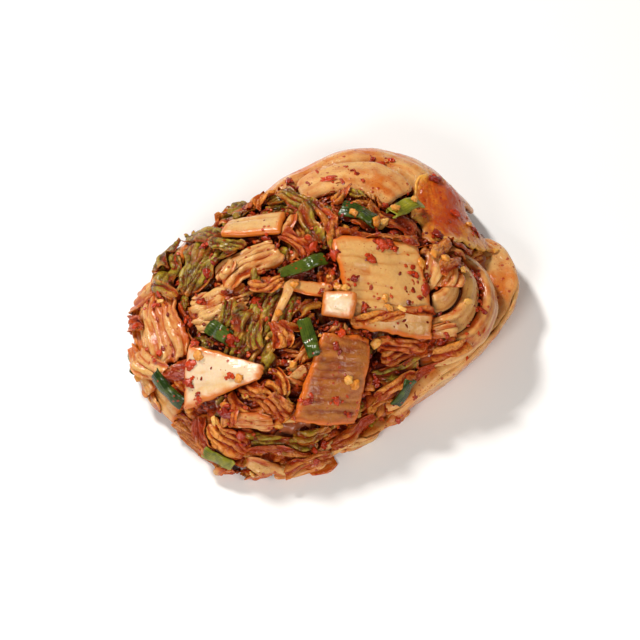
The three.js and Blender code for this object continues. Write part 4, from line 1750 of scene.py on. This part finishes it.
@dataclass
class SpringOnion(PieceTable):
    """Glossy cuts of spring onion leaf: flattened tubes, creased and split along one side."""

    cell: float = 0.42
    opening: float = 0.22

    def piece(self, name: str, looks: Onion) -> None:
        """One cut.

        Args:
            name: Its node.
            looks: Its place and size.
        """
        kitchen, noise, onion = self.kitchen, self.kitchen.noise, looks
        patch = Patch(onion.at, onion.turn, (onion.length, onion.width), onion.lift, 0, (1.2, 0))
        s, t, flat = patch.grid(kitchen.shape, self.cell, 2.4)
        flat = flat + 11.0 * len(name)
        flat_tube = Sheet(patch.surface(kitchen.shape, s * (1 + 0.07 * noise(flat, 2.5)), 0.8 * t), 0.7)
        flat_tube.rest_on(kitchen.heap, 5, 0.6, 1.5)
        around = np.pi * t * (1 - self.opening)
        across = flat_tube.sides()[1]
        spine = flat_tube.points.mean(axis=0, keepdims=True) + 0 * flat_tube.points
        out = kitchen.shape.normal(*onion.at)
        width = onion.width / 2 * (1 + 0.12 * noise(flat + 4, 6.0))
        tall = onion.width * 0.17 * (1 + 0.8 * noise(flat + 8, (5.0, 40.0, 9.0)))
        points = spine + across * (width * np.sin(around))[..., None]
        points = points + out * (tall * (1 + np.cos(around)))[..., None]
        points = points + out * (0.9 * noise(flat + 70, (6.0, 5.0, 9.0)))[..., None]
        sheet = Sheet(points, 0.6, {"groove": 0.5 + 0.5 * np.cos(t * 40)})
        kitchen.lay(f"kimchi_{name}", sheet, onion.finish, "spring_onion", 1, (name,))


# Small cuts.
@dataclass(frozen=True)
class CutKind:
    """A kind of small cut: how many, how large, how it is folded and how it is finished."""

    name: str
    finish: Finish
    slot: str
    count: int
    length: tuple[float, float]
    width: tuple[float, float]
    full: tuple[float, float]
    folds: tuple[float, float]
    thick: float
    green: tuple[float, float]
    roundness: float = 0.06
    rows: int = 22


LEAF_CUTS = CutKind(
    "leaf_cuts", Finish.LEAF, "leaf", 110, (13, 22), (8, 15), (1.07, 1.7), (3, 2.6), 0.5, (0, 0.4), 0.03)
STEM_CUTS = CutKind(
    "stem_cuts", Finish.RIB, "stem", 76, (12, 24), (4, 9), (1.05, 1.35), (3.6, 2), 1.3, (0, 0), 0.14)
BROWN_CUTS = replace(
    LEAF_CUTS, name="brown_cuts", finish=Finish.BROWN_LEAF, count=80, length=(12, 20), width=(7, 13),
    full=(1.05, 1.65), green=(0, 0.2))
THIN_STRIPS = CutKind(
    "thin_strips", Finish.RIB, "stem", 70, (10, 19), (1.8, 3.6), (1.04, 1.1), (3, 1), 1.0, (0, 0.2), 0.12, 10)
GREEN_CUTS = replace(
    LEAF_CUTS, name="green_cuts", finish=Finish.GREEN_LEAF, slot="green_leaf", count=56, length=(11, 19),
    width=(8, 13), full=(1.1, 1.75), folds=(3.6, 3), green=(0.5, 1))
SMALL_CUTS = (LEAF_CUTS, STEM_CUTS, BROWN_CUTS, THIN_STRIPS, GREEN_CUTS)


@dataclass
class SmallCuts(Assembly):
    """Small crumpled cuts that cover the core, one joined piece for each kind."""

    columns: int = 26
    start: float = -4.2
    crowding: float = 0.46
    hidden: float = 0.7

    def build(self) -> None:
        """Lays the kinds in turn, so that they mix, and joins each kind at the end."""
        order = np.concatenate([np.full(kind.count, i) for i, kind in enumerate(SMALL_CUTS)])
        self.kitchen.random.shuffle(order)
        made: list[list[Cut]] = [[] for _ in SMALL_CUTS]
        for index, which in enumerate(order):
            cut = self.cut(SMALL_CUTS[which], index, len(order))
            if cut is not None:
                made[which].append(cut)
        for kind, cuts in zip(SMALL_CUTS, made):
            self.join(kind, cuts)

    def cut(self, kind: CutKind, index: int, total: int) -> Cut | None:
        """One cut at its turn of a spiral over the heap, or None where other pieces fill the place.

        Args:
            kind: Its kind.
            index: Its number on the spiral.
            total: How many there are.

        Returns:
            The cut, if there is room for it.
        """
        kitchen, draw = self.kitchen, self.kitchen.random.uniform
        angle = index * GOLDEN_TURN
        share = ((index + 0.5) / total) ** self.crowding
        reach = share * float(kitchen.shape.footprint(np.array(angle)))
        x, y = reach * math.cos(angle), reach * math.sin(angle)
        size = (draw(*kind.length), draw(*kind.width))
        patch = Patch(
            (x, y), draw(0, 360), size, self.start, draw(-15, 15), (draw(1, 2.5), draw(0, 1)),
            (draw(0.5, 0.9), 1.0), draw(-2, 2), draw(-12, 12),
        )
        larger, shift = draw(0.8, 1.3), draw(0, 400)
        green, tint = sorted(draw(*kind.green, size=2)), draw(0, 1)
        turned = math.degrees(angle) % 360
        by_right = share > 0.86 and (turned < RIGHT_LEAVES[1] or turned > RIGHT_LEAVES[0])
        by_back = share > 0.78 and BACK_LEAVES[0] < turned < BACK_LEAVES[1]
        in_stems = math.hypot(x - STEM_CENTRE[0], y - STEM_CENTRE[1]) < 30 and x > STEM_CENTRE[0] - 4
        over, distance = kitchen.covers.read(patch.surface(kitchen.shape, *lattice(12, 16)))
        if by_right or by_back or in_stems or np.mean(distance > over - 1.5) > self.hidden:
            return None
        return self.shaped(kind, patch, larger, shift, green, tint, kitchen.covers)

    def shaped(
        self, kind: CutKind, patch: Patch, larger: float, shift: float, green: Iterable[float], tint: float,
        lid: ReachMap | None, sag: float = 5.0,
    ) -> Cut:
        """Folds one cut and lays it down.

        Args:
            kind: Its kind.
            patch: Its place.
            larger: How many times wider and higher its folds are than its kind's.
            shift: Sets its folds apart from other cuts'.
            green: How green it is at either end.
            tint: Its shade, from 0 to 1.
            lid: What it has to stay under.
            sag: How far it may sink.

        Returns:
            The points of both its faces, and its marks.
        """
        kitchen, noise = self.kitchen, self.kitchen.noise
        s, t = lattice(kind.rows, self.columns)
        width, height = kind.folds
        folding = Folding(noise, kind.full, larger * width, larger * height, kind.roundness, 80)
        rest = (3.5, 0.4 + 0.3 * height, sag)
        sheet = kitchen.folded(patch, folding, kind.thick, s.shape, shift, rest)
        if lid is not None:
            sheet.stay_under(lid, 0.2)
        sheet.marks["green"] = np.clip(mixed(*green, (s + 1) / 2) + 0.4 * noise(sheet.points, 6.0), 0, 1)
        sheet.marks["tint"] = np.full(s.shape, tint)
        kitchen.complete(sheet, 1.6)
        out = sheet.sides()[2]
        kitchen.heap.add(sheet.points + out * kind.thick / 2)
        rim = np.clip(3.2 * (1 - np.maximum(np.abs(s), np.abs(t))), 0, 1) ** 0.5
        half = (out * (kind.thick / 2 * rim)[..., None]).reshape(-1, 3)
        middle = sheet.points.reshape(-1, 3)
        marks = {name: np.tile(values.ravel(), 2) for name, values in sheet.marks.items()}
        return np.concatenate([middle + half, middle - half]), marks

    def faces(self, rows: int) -> Grid:
        """The squares of one closed cut: its top, its underside and its rim.

        Args:
            rows: Its rows of points.

        Returns:
            The numbers of their corners.
        """
        number = np.arange(rows * self.columns).reshape(rows, self.columns)
        under = number + rows * self.columns
        top = np.stack([number[:-1, :-1], number[:-1, 1:], number[1:, 1:], number[1:, :-1]], axis=-1)
        low = np.stack([under[:-1, :-1], under[1:, :-1], under[1:, 1:], under[:-1, 1:]], axis=-1)
        rim = np.concatenate([number[0, :-1], number[:-1, -1], number[-1, :0:-1], number[:0:-1, 0]])
        below = rim + rows * self.columns
        side = np.stack([rim, below, np.roll(below, -1), np.roll(rim, -1)], axis=-1)
        return np.concatenate([top.reshape(-1, 4), low.reshape(-1, 4), side])

    def join(self, kind: CutKind, cuts: list[Cut], prefix: str = "") -> None:
        """Joins one kind's cuts into a piece.

        Args:
            kind: The kind.
            cuts: Its cuts.
            prefix: Comes before the kind's name.
        """
        if not cuts:
            return
        count = 2 * kind.rows * self.columns
        faces = np.concatenate([self.faces(kind.rows) + count * i for i in range(len(cuts))])
        points = np.concatenate([cut[0] for cut in cuts])
        marks = {name: np.concatenate([cut[1][name] for cut in cuts]) for name in cuts[0][1]}
        obj = Workshop.joined(f"kimchi_{prefix}{kind.name}", points, faces, marks)
        self.kitchen.serve(obj, kind.finish, kind.slot)


PLACED_KINDS = {
    "green": replace(GREEN_CUTS, full=(1.1, 1.8), folds=(4, 3.6), roundness=0.06),
    "orange": replace(LEAF_CUTS, full=(1.08, 1.75), folds=(3.8, 3.2), green=(0, 0.15)),
    "brown": replace(BROWN_CUTS, full=(1.06, 1.65), folds=(3.4, 2.8), green=(0, 0.3)),
    "tan": replace(STEM_CUTS, full=(1.05, 1.4), folds=(4, 2.8), thick=1.2, green=(0, 0.1), roundness=0.12),
    "strip": replace(THIN_STRIPS, folds=(4, 1), thick=1.1, green=(0, 0.1)),
}
# Cuts that stand out: kind, then place, direction and size as seen, in the view's steps.
UPPER_CUTS = (
    ("tan", -178, 24, 40, 30, 18), ("orange", -186, -6, 10, 26, 14), ("tan", -166, -82, -50, 24, 14),
    ("orange", -93, -152, -60, 20, 12), ("orange", -70, -156, 20, 30, 12), ("tan", 2, -149, 20, 30, 14),
    ("tan", 108, 46, 75, 34, 20), ("tan", -182, -42, -70, 34, 14), ("brown", 30, 112, 0, 36, 16),
    ("orange", 62, 108, -20, 30, 16), ("green", -152, 48, 70, 36, 18), ("tan", 42, 94, -10, 28, 14),
    ("brown", 24, 88, 20, 26, 14), ("tan", 134, 76, -20, 34, 18), ("tan", 44, -120, 25, 34, 14),
    ("tan", -173, -60, -60, 30, 16), ("green", -115, 85, 5, 46, 16), ("green", -150, 62, 60, 34, 16),
    ("green", -92, 75, -10, 28, 18), ("green", -153, 29, -25, 28, 14), ("tan", -88, 50, 60, 16, 12),
    ("tan", -163, -43, -30, 38, 26), ("green", -67, 35, 55, 26, 14), ("green", -88, 5, 75, 28, 18),
    ("green", -72, 0, 60, 26, 16), ("green", -62, -15, 100, 26, 18), ("orange", -50, 34, 15, 32, 14),
    ("strip", -35, 17, 62, 52, 10), ("orange", -40, -15, 100, 28, 24), ("orange", -18, 0, 30, 26, 18),
    ("green", -48, -43, 80, 18, 14), ("orange", -40, -60, -60, 28, 18), ("orange", -50, -70, -25, 38, 18),
    ("green", -10, 13, 30, 22, 16), ("brown", -78, -82, -40, 26, 16), ("green", -40, 120, 20, 26, 20),
    ("green", -20, 114, -25, 40, 18), ("orange", -54, 116, 30, 20, 14), ("green", 40, 130, 85, 26, 18),
    ("tan", 52, 130, 105, 22, 14), ("orange", 20, 122, 60, 24, 14), ("orange", 68, 122, 0, 26, 18),
    ("brown", 86, 96, -30, 30, 22), ("green", -8, 92, -60, 36, 16), ("tan", -32, 92, 60, 20, 14),
    ("orange", -24, 76, -30, 34, 18), ("brown", 6, 90, -70, 36, 14), ("orange", 110, 84, 20, 26, 12),
    ("orange", 103, 78, 15, 28, 14), ("orange", 115, 66, 45, 28, 22), ("brown", 122, 46, 20, 26, 18),
    ("tan", 100, -20, 15, 44, 14), ("orange", 80, -25, -10, 48, 16), ("orange", 117, -30, 20, 28, 14),
    ("green", 75, -50, 20, 44, 16), ("brown", 70, -73, 35, 48, 12), ("orange", 93, -54, 30, 44, 12),
    ("orange", -60, -74, -30, 38, 22), ("orange", -37, -83, -50, 30, 22), ("tan", -65, -97, -10, 40, 18),
    ("orange", -85, -90, 80, 22, 16), ("orange", -90, -117, -40, 46, 26),
    ("brown", -113, -113, -70, 36, 20), ("tan", -95, -150, 60, 18, 14), ("tan", -60, -156, 30, 24, 14),
    ("green", -33, -122, -8, 62, 12), ("brown", -37, -132, -5, 58, 10), ("green", -7, -113, 15, 38, 14),
    ("tan", 18, -122, 35, 54, 12), ("brown", 35, -110, 35, 52, 12), ("orange", 73, -67, 35, 46, 12),
    ("tan", -47, -142, -15, 46, 12), ("brown", -10, -140, 20, 44, 12), ("orange", -130, -75, -60, 30, 18),
    ("orange", 44, 96, -10, 26, 14), ("brown", 138, 76, -30, 30, 16),
)
TOP_CUTS = (
    ("orange", 38, 83, -10, 40, 12), ("brown", 78, 80, -18, 40, 13), ("orange", 55, 1, 6, 50, 13),
    ("orange", 92, 6, -5, 34, 10),
)


@dataclass
class PlacedCuts(SmallCuts):
    """Crumpled cuts that stand out on top, each at its own place."""

    table: tuple[tuple[str, float, float, float, float, float], ...] = UPPER_CUTS
    prefix: str = "upper"
    under_lids: bool = True
    lift: float = 1.6

    def build(self) -> None:
        """Lays the cuts in turn and joins those of a kind."""
        kitchen, draw = self.kitchen, self.kitchen.random.uniform
        made: dict[str, list[Cut]] = {name: [] for name in PLACED_KINDS}
        for name, right, up, turn, length, width in self.table:
            kind = PLACED_KINDS[name]
            patch = kitchen.view.patch(
                kitchen.shape, (right, up), turn, (length, width), self.lift, drop=(draw(0.5, 2), draw(0, 1)),
                waist=(draw(0.6, 1), draw(0.7, 1)), pitch=draw(-6, 6), bend=draw(-2, 2),
            )
            lid = kitchen.lids if self.under_lids else None
            larger, shift = draw(0.85, 1.15), draw(0, 400)
            green, tint = draw(*kind.green, size=2), draw(0, 1)
            made[name].append(self.shaped(kind, patch, larger, shift, green, tint, lid, 3.0))
        for name, cuts in made.items():
            self.join(PLACED_KINDS[name], cuts, f"{self.prefix}_")


@dataclass
class FootCuts(SmallCuts):
    """Cuts that lean against the foot of the heap at its back and left, down to the table."""

    span: tuple[float, float] = (121.0, 262.0)
    count: int = 16
    levels: tuple[float, float, float] = (0.972, 0.915, 0.84)
    kinds: tuple[str, ...] = ("orange", "tan", "brown", "orange", "green", "brown", "tan")
    detail: int = 14

    def build(self) -> None:
        """Lays rows of cuts, each over the one below."""
        kitchen, draw = self.kitchen, np.random.default_rng(FOOT_SEED).uniform
        made: dict[str, list[Cut]] = {name: [] for name in self.kinds}
        for row, share in enumerate(self.levels):
            for index, degrees in enumerate(np.linspace(*self.span, self.count) + 4 * row):
                name = self.kinds[(index + 3 * row) % len(self.kinds)]
                angle = math.radians(degrees + draw(-2, 2))
                reach = share * float(kitchen.shape.footprint(np.array(angle)))
                patch = Patch(
                    (reach * math.cos(angle), reach * math.sin(angle)), degrees + 90 + draw(-40, 40),
                    (draw(16, 22), draw(10, 14)), -1.0, draw(-6, 6), (draw(1, 2), draw(0.5, 1.5)),
                )
                kind = replace(PLACED_KINDS[name], rows=self.detail)
                shift, green, tint = draw(0, 400), draw(*kind.green, size=2), draw(0, 1)
                made[name].append(self.shaped(kind, patch, 1.0, shift, green, tint, kitchen.covers))
        for name, cuts in made.items():
            self.join(replace(PLACED_KINDS[name], rows=self.detail), cuts, "foot_")


# Scattered things.
@dataclass(frozen=True)
class GrainKind:
    """A kind of small grain: its radius, how flat it is, how rough, and how deep it sits."""

    name: str
    finish: Finish
    size: tuple[float, float]
    flat: tuple[float, float]
    rough: float
    sunk: float
    detail: int = 2


FLAKES = GrainKind("pepper_flakes", Finish.FLAKE, (0.3, 0.95), (0.12, 0.3), 0.35, 0.04)
PASTE = GrainKind("pepper_paste", Finish.PASTE, (0.4, 1.1), (0.22, 0.45), 0.5, 0.1)
LUMPS = GrainKind("paste_lumps", Finish.PASTE, (1.0, 1.9), (0.3, 0.5), 0.55, 0.15, 3)
GARLIC = GrainKind("chopped_garlic", Finish.GARLIC, (0.6, 1.3), (0.4, 0.8), 0.5, 0.2, 3)

# Lumps of paste and garlic that stand out: place as seen in the view's steps, reach and lift in millimetres.
PASTE_SPOTS = (
    (58, 73, 3.4, 6), (66, 74, 2.8, 6), (48, 59, 3, 6), (33, 41, 2.2, 6), (102, 27, 3.4, 6), (72, 70, 2, 6),
    (18, -26, 2.2, 5), (20, -80, 2.2, 5), (-9, -80, 2.6, 5), (32, -95, 2, 5), (13, 59, 3, 3),
    (184, 65, 2.4, 2), (186, 32, 2.2, 2), (185, -12, 2.6, 2), (150, -27, 3.6, 2), (138, -55, 3.2, 2),
    (167, -30, 3, 2), (120, -50, 3, 2), (58, -62, 2.4, 2), (93, -75, 2.4, 2), (78, -100, 2.4, 2),
    (-112, 48, 3, 3), (-48, 50, 2.8, 3), (-7, 72, 3, 3), (-88, -19, 3, 3), (-62, 22, 2.4, 3),
    (-165, 15, 2.6, 2), (-180, -7, 2.2, 2), (-159, -33, 2.6, 3), (-85, -87, 3.6, 2), (-77, -113, 3, 2),
    (-2, -137, 2.2, 2), (48, -112, 2.2, 2), (8, 142, 4.8, 2), (60, 156, 4.2, 2), (26, 150, 2.8, 2),
    (-14, 137, 3, 2), (-3, 146, 2.6, 2), (22, 140, 2.6, 2), (34, 146, 3, 2), (-32, 140, 2.8, 2),
    (44, 140, 2.4, 2), (113, 138, 3.2, 3), (122, 92, 3.4, 4), (140, 112, 2.8, 4), (160, 98, 2.4, 3),
    (-127, -43, 3.2, 6), (-129, -60, 2.8, 6), (-119, -77, 2, 6), (-86, -52, 1.8, 5), (-120, -23, 2.4, 3),
    (70, 158, 2.6, 2), (52, 160, 2.2, 2), (-95, 102, 2.4, 2),
)
GARLIC_SPOTS = (
    (67, 10, 1.5, 6), (75, 7, 1.4, 6), (63, 20, 1.3, 6), (98, 55, 1.8, 6), (37, -64, 1.8, 5),
    (30, -60, 1.6, 5), (112, 52, 1.5, 3), (133, 45, 1.4, 3), (136, 13, 1.4, 3), (57, -23, 1.8, 3),
    (19, 32, 2.0, 3), (24, 28, 1.5, 3), (-175, -57, 1.5, 2), (-100, -97, 1.5, 2), (-40, -105, 1.7, 2),
    (54, 99, 2.2, 4), (65, 106, 2.1, 4), (26, 98, 1.8, 4), (32, 102, 1.6, 4), (73, 110, 1.6, 4),
    (91, 118, 1.3, 4), (-117, -34, 2.2, 4), (-76, -55, 1.7, 5), (-41, 8, 1.4, 3), (-24, 34, 1.4, 3),
    (-26, -44, 1.4, 3),
)


@dataclass
class Scatter(Assembly):
    """Pepper flakes, lumps of paste and chopped garlic over the whole heap."""

    flakes: int = 800
    loose_paste: int = 44
    garlic: int = 22
    exposed: float = 0.03

    def build(self) -> None:
        """Makes one joined piece of each kind."""
        spots = np.concatenate([self.placed(PASTE_SPOTS), self.in_hollows(self.loose_paste, (1.2, 2.6))])
        self.grains(LUMPS, spots * (1, 1, 0.6))
        self.grains(PASTE, np.concatenate([self.cluster(*spot) for spot in spots]))
        garlic = np.concatenate([self.placed(GARLIC_SPOTS), self.in_hollows(self.garlic, GARLIC.size)])
        self.grains(GARLIC, garlic)
        self.grains(FLAKES, self.in_hollows(self.flakes, FLAKES.size))

    def placed(self, table: Iterable[tuple[float, float, float, float]]) -> Grid:
        """Places on the ground plan and sizes of a table's spots."""
        view, shape = self.kitchen.view, self.kitchen.shape
        return np.array([(*view.ground(shape, right, up, lift), size) for right, up, size, lift in table])

    def in_hollows(self, count: int, size: tuple[float, float]) -> Grid:
        """Places and sizes all over the heap, most of them where it is hollow.

        Args:
            count: How many.
            size: The least and the largest.

        Returns:
            x, y and size of each.
        """
        kitchen, rng = self.kitchen, self.kitchen.random
        wide, near = soften(kitchen.heap.reach, 12, 12), soften(kitchen.heap.reach, 1.5, 1.5)
        angle = rng.uniform(0, 2 * np.pi, 12 * count)
        reach = rng.uniform(0, 0.98, 12 * count) ** 0.46 * kitchen.shape.footprint(angle)
        x, y = reach * np.cos(angle), reach * np.sin(angle)
        row, column, _ = kitchen.heap.locate(np.stack([x, y, kitchen.shape.level(x, y)], axis=-1))
        sunk = kitchen.heap.sample(wide, row, column) - kitchen.heap.sample(near, row, column)
        patchy = kitchen.noise(np.stack([x, y, 0 * x], axis=-1), 9.0)
        chosen = rng.uniform(size=len(x)) < np.clip(self.exposed + 0.5 * sunk + 0.4 * patchy, 0.01, 1)
        places = np.column_stack([x, y, rng.uniform(*size, len(x))])[chosen]
        return places[:count]

    def cluster(self, x: float, y: float, reach: float) -> Grid:
        """Places and sizes of the grains round one lump.

        Args:
            x: Place to the right.
            y: Place to the back.
            reach: Size of the cluster.

        Returns:
            x, y and size of each.
        """
        rng = self.kitchen.random
        count = int(1 + 0.9 * reach**1.5)
        away = rng.normal(size=(count, 2)) * reach * 0.42
        return np.column_stack([x + away[:, 0], y + away[:, 1], rng.uniform(*PASTE.size, size=count)])

    @staticmethod
    def ball(detail: int) -> tuple[Grid, Grid]:
        """Points and triangles of a small ball.

        Args:
            detail: How fine it is.

        Returns:
            Both as grids.
        """
        bpy.ops.object.select_all(action="DESELECT")
        bpy.ops.mesh.primitive_ico_sphere_add(subdivisions=detail, radius=1.0)
        obj = bpy.context.object
        points = np.array([tuple(vertex.co) for vertex in obj.data.vertices])
        faces = np.array([tuple(face.vertices) for face in obj.data.polygons])
        bpy.data.objects.remove(obj, do_unlink=True)
        return points, faces

    def grains(self, kind: GrainKind, places: Grid) -> None:
        """Puts a grain at each place, on what lies there, and joins them.

        Args:
            kind: The kind.
            places: x, y and size of each.
        """
        kitchen, rng, heap = self.kitchen, self.kitchen.random, self.kitchen.heap
        ball, faces = self.ball(kind.detail)
        smooth = soften(heap.reach, 1.2, 1.2)
        x, y, size = places.T
        row, column, _ = heap.locate(np.stack([x, y, np.maximum(kitchen.shape.level(x, y), 1.0)], axis=-1))
        on_heap = heap.place(row, column, smooth)
        beside, below = heap.place(row, column + 1.5, smooth), heap.place(row + 1.5, column, smooth)
        out = unit(np.cross(beside - on_heap, below - on_heap))
        out = unit(out + 0.5 * unit(on_heap - heap.centre) + 0.25 * rng.normal(size=out.shape))
        side = unit(np.cross(out, rng.normal(size=out.shape)))
        other = np.cross(out, side)
        number = len(size)
        flat, long = rng.uniform(*kind.flat, number), rng.uniform(0.7, 1.4, number)
        shift = rng.uniform(0, 300, (number, 1, 3))
        rough = kitchen.noise(ball[None] * 1.0 + shift, 0.75) + 0.5 * kitchen.noise(ball[None] + shift, 0.35)
        shaped = ball[None] * (1 + kind.rough * rough)[..., None]
        raised = shaped[..., 2] + 1 - kind.sunk / flat[:, None]
        points = (
            on_heap[:, None]
            + side[:, None] * (shaped[..., 0] * (size * long)[:, None])[..., None]
            + other[:, None] * (shaped[..., 1] * (size / long)[:, None])[..., None]
            + out[:, None] * (raised * (size * flat)[:, None])[..., None]
        )
        points[..., 2] = np.maximum(points[..., 2], GROUND_GAP)
        all_faces = (faces[None] + (np.arange(number) * len(ball))[:, None, None]).reshape(-1, 3)
        tint = np.repeat(rng.uniform(size=number), len(ball))
        obj = Workshop.joined(f"kimchi_{kind.name}", points.reshape(-1, 3), all_faces, {"tint": tint})
        kitchen.serve(obj, kind.finish, "fine_cuts")
        if kind is not FLAKES:
            heap.add(points, 0)


# The studio.
# Name, place and size in millimetres, power in watts, and tone.
LAMPS = (
    ("key_light", (-420, 380, 720), 140, 7.8, (1.0, 0.97, 0.93)),
    ("fill_light", (520, -420, 520), 260, 1.8, (1.0, 0.96, 0.91)),
    ("front_light", (-260, -620, 520), 260, 3.7, (1.0, 0.96, 0.91)),
)


@dataclass
class Studio:
    """The camera, the floor and soft light."""

    view: View
    distance: float = 1300.0
    sensor: float = 36.0
    sky: Colour = (1.0, 0.97, 0.93)
    sky_strength: float = 0.17

    def build(self) -> None:
        """Sets up everything that isn't the object."""
        self.camera()
        self.floor()
        for lamp in LAMPS:
            self.lamp(*lamp)
        world = bpy.data.worlds.new("studio")
        world.use_nodes = True
        world.node_tree.nodes["Background"].inputs["Color"].default_value = (*self.sky, 1)
        world.node_tree.nodes["Background"].inputs["Strength"].default_value = self.sky_strength
        bpy.context.scene.world = world
        bpy.context.scene.view_settings.view_transform = "Standard"

    def camera(self) -> None:
        """A long lens that looks down on the heap from the front."""
        data = bpy.data.cameras.new("camera")
        data.sensor_width = self.sensor
        data.lens = self.sensor * self.distance / self.view.width
        data.clip_start, data.clip_end = 0.05, 20.0
        camera = bpy.data.objects.new("camera", data)
        back = Vector((1, 0, 0)).cross(Vector(self.view.up))
        camera.location = (Vector(self.view.target) + back * self.distance) * MM
        camera.rotation_euler = (-back).to_track_quat("-Z", "Y").to_euler()
        bpy.context.collection.objects.link(camera)
        bpy.context.scene.camera = camera

    def floor(self) -> None:
        """The floor that the heap lies on."""
        bpy.ops.object.select_all(action="DESELECT")
        bpy.ops.mesh.primitive_plane_add(size=6.0, location=(0, 0, 0))
        floor = bpy.context.object
        floor.name = floor.data.name = "floor"
        floor.data.materials.append(FloorFinish().material())

    def lamp(
        self, name: str, place: tuple[float, float, float], size: float, power: float, tone: Colour,
    ) -> None:
        """A square soft light, aimed at the heap.

        Args:
            name: Its name.
            place: Where it hangs.
            size: Length of a side.
            power: Watts.
            tone: Its colour.
        """
        data = bpy.data.lights.new(name, "AREA")
        data.size, data.energy, data.color = size * MM, power, tone
        lamp = bpy.data.objects.new(name, data)
        lamp.location = Vector(place) * MM
        aim = Vector(self.view.target) * MM - lamp.location
        lamp.rotation_euler = aim.to_track_quat("-Z", "Y").to_euler()
        bpy.context.collection.objects.link(lamp)


def main() -> None:
    """Builds the heap from the bottom up, then the studio."""
    kitchen = Kitchen()
    steps: tuple[Assembly, ...] = (
        Core(kitchen),
        SmoothLeaves(kitchen, WALL_LEAVES),
        SmoothLeaves(kitchen, LINING_LEAVES, nodes=False),
        SmallCuts(kitchen),
        FootCuts(kitchen),
        LeafLayers(kitchen),
        LeafBundles(kitchen, REAR_LEAVES),
        StemSlices(kitchen, REAR_SLICES),
        NestedStems(kitchen, NESTED_STEMS),
        LeafBundles(kitchen, LEAF_BUNDLES),
        PlacedCuts(kitchen, table=UPPER_CUTS),
        SmoothLeaves(kitchen, COVER_LEAVES, on_top=True),
        LeafBundles(kitchen, DRAPED_LEAVES, on_top=True),
        StemSlices(kitchen, TOP_SLICES, on_top=True),
        PlacedCuts(kitchen, table=TOP_CUTS, prefix="top", under_lids=False, lift=5.0),
        SpringOnion(kitchen, ONION_LEAVES),
        Scatter(kitchen),
    )
    for step in steps:
        step.reserve()
    for step in steps:
        step.build()
        log.info("%s built", type(step).__name__)
    kitchen.mark_hollows()
    Studio(kitchen.view).build()
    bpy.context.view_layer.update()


if __name__ == "__main__":
    main()
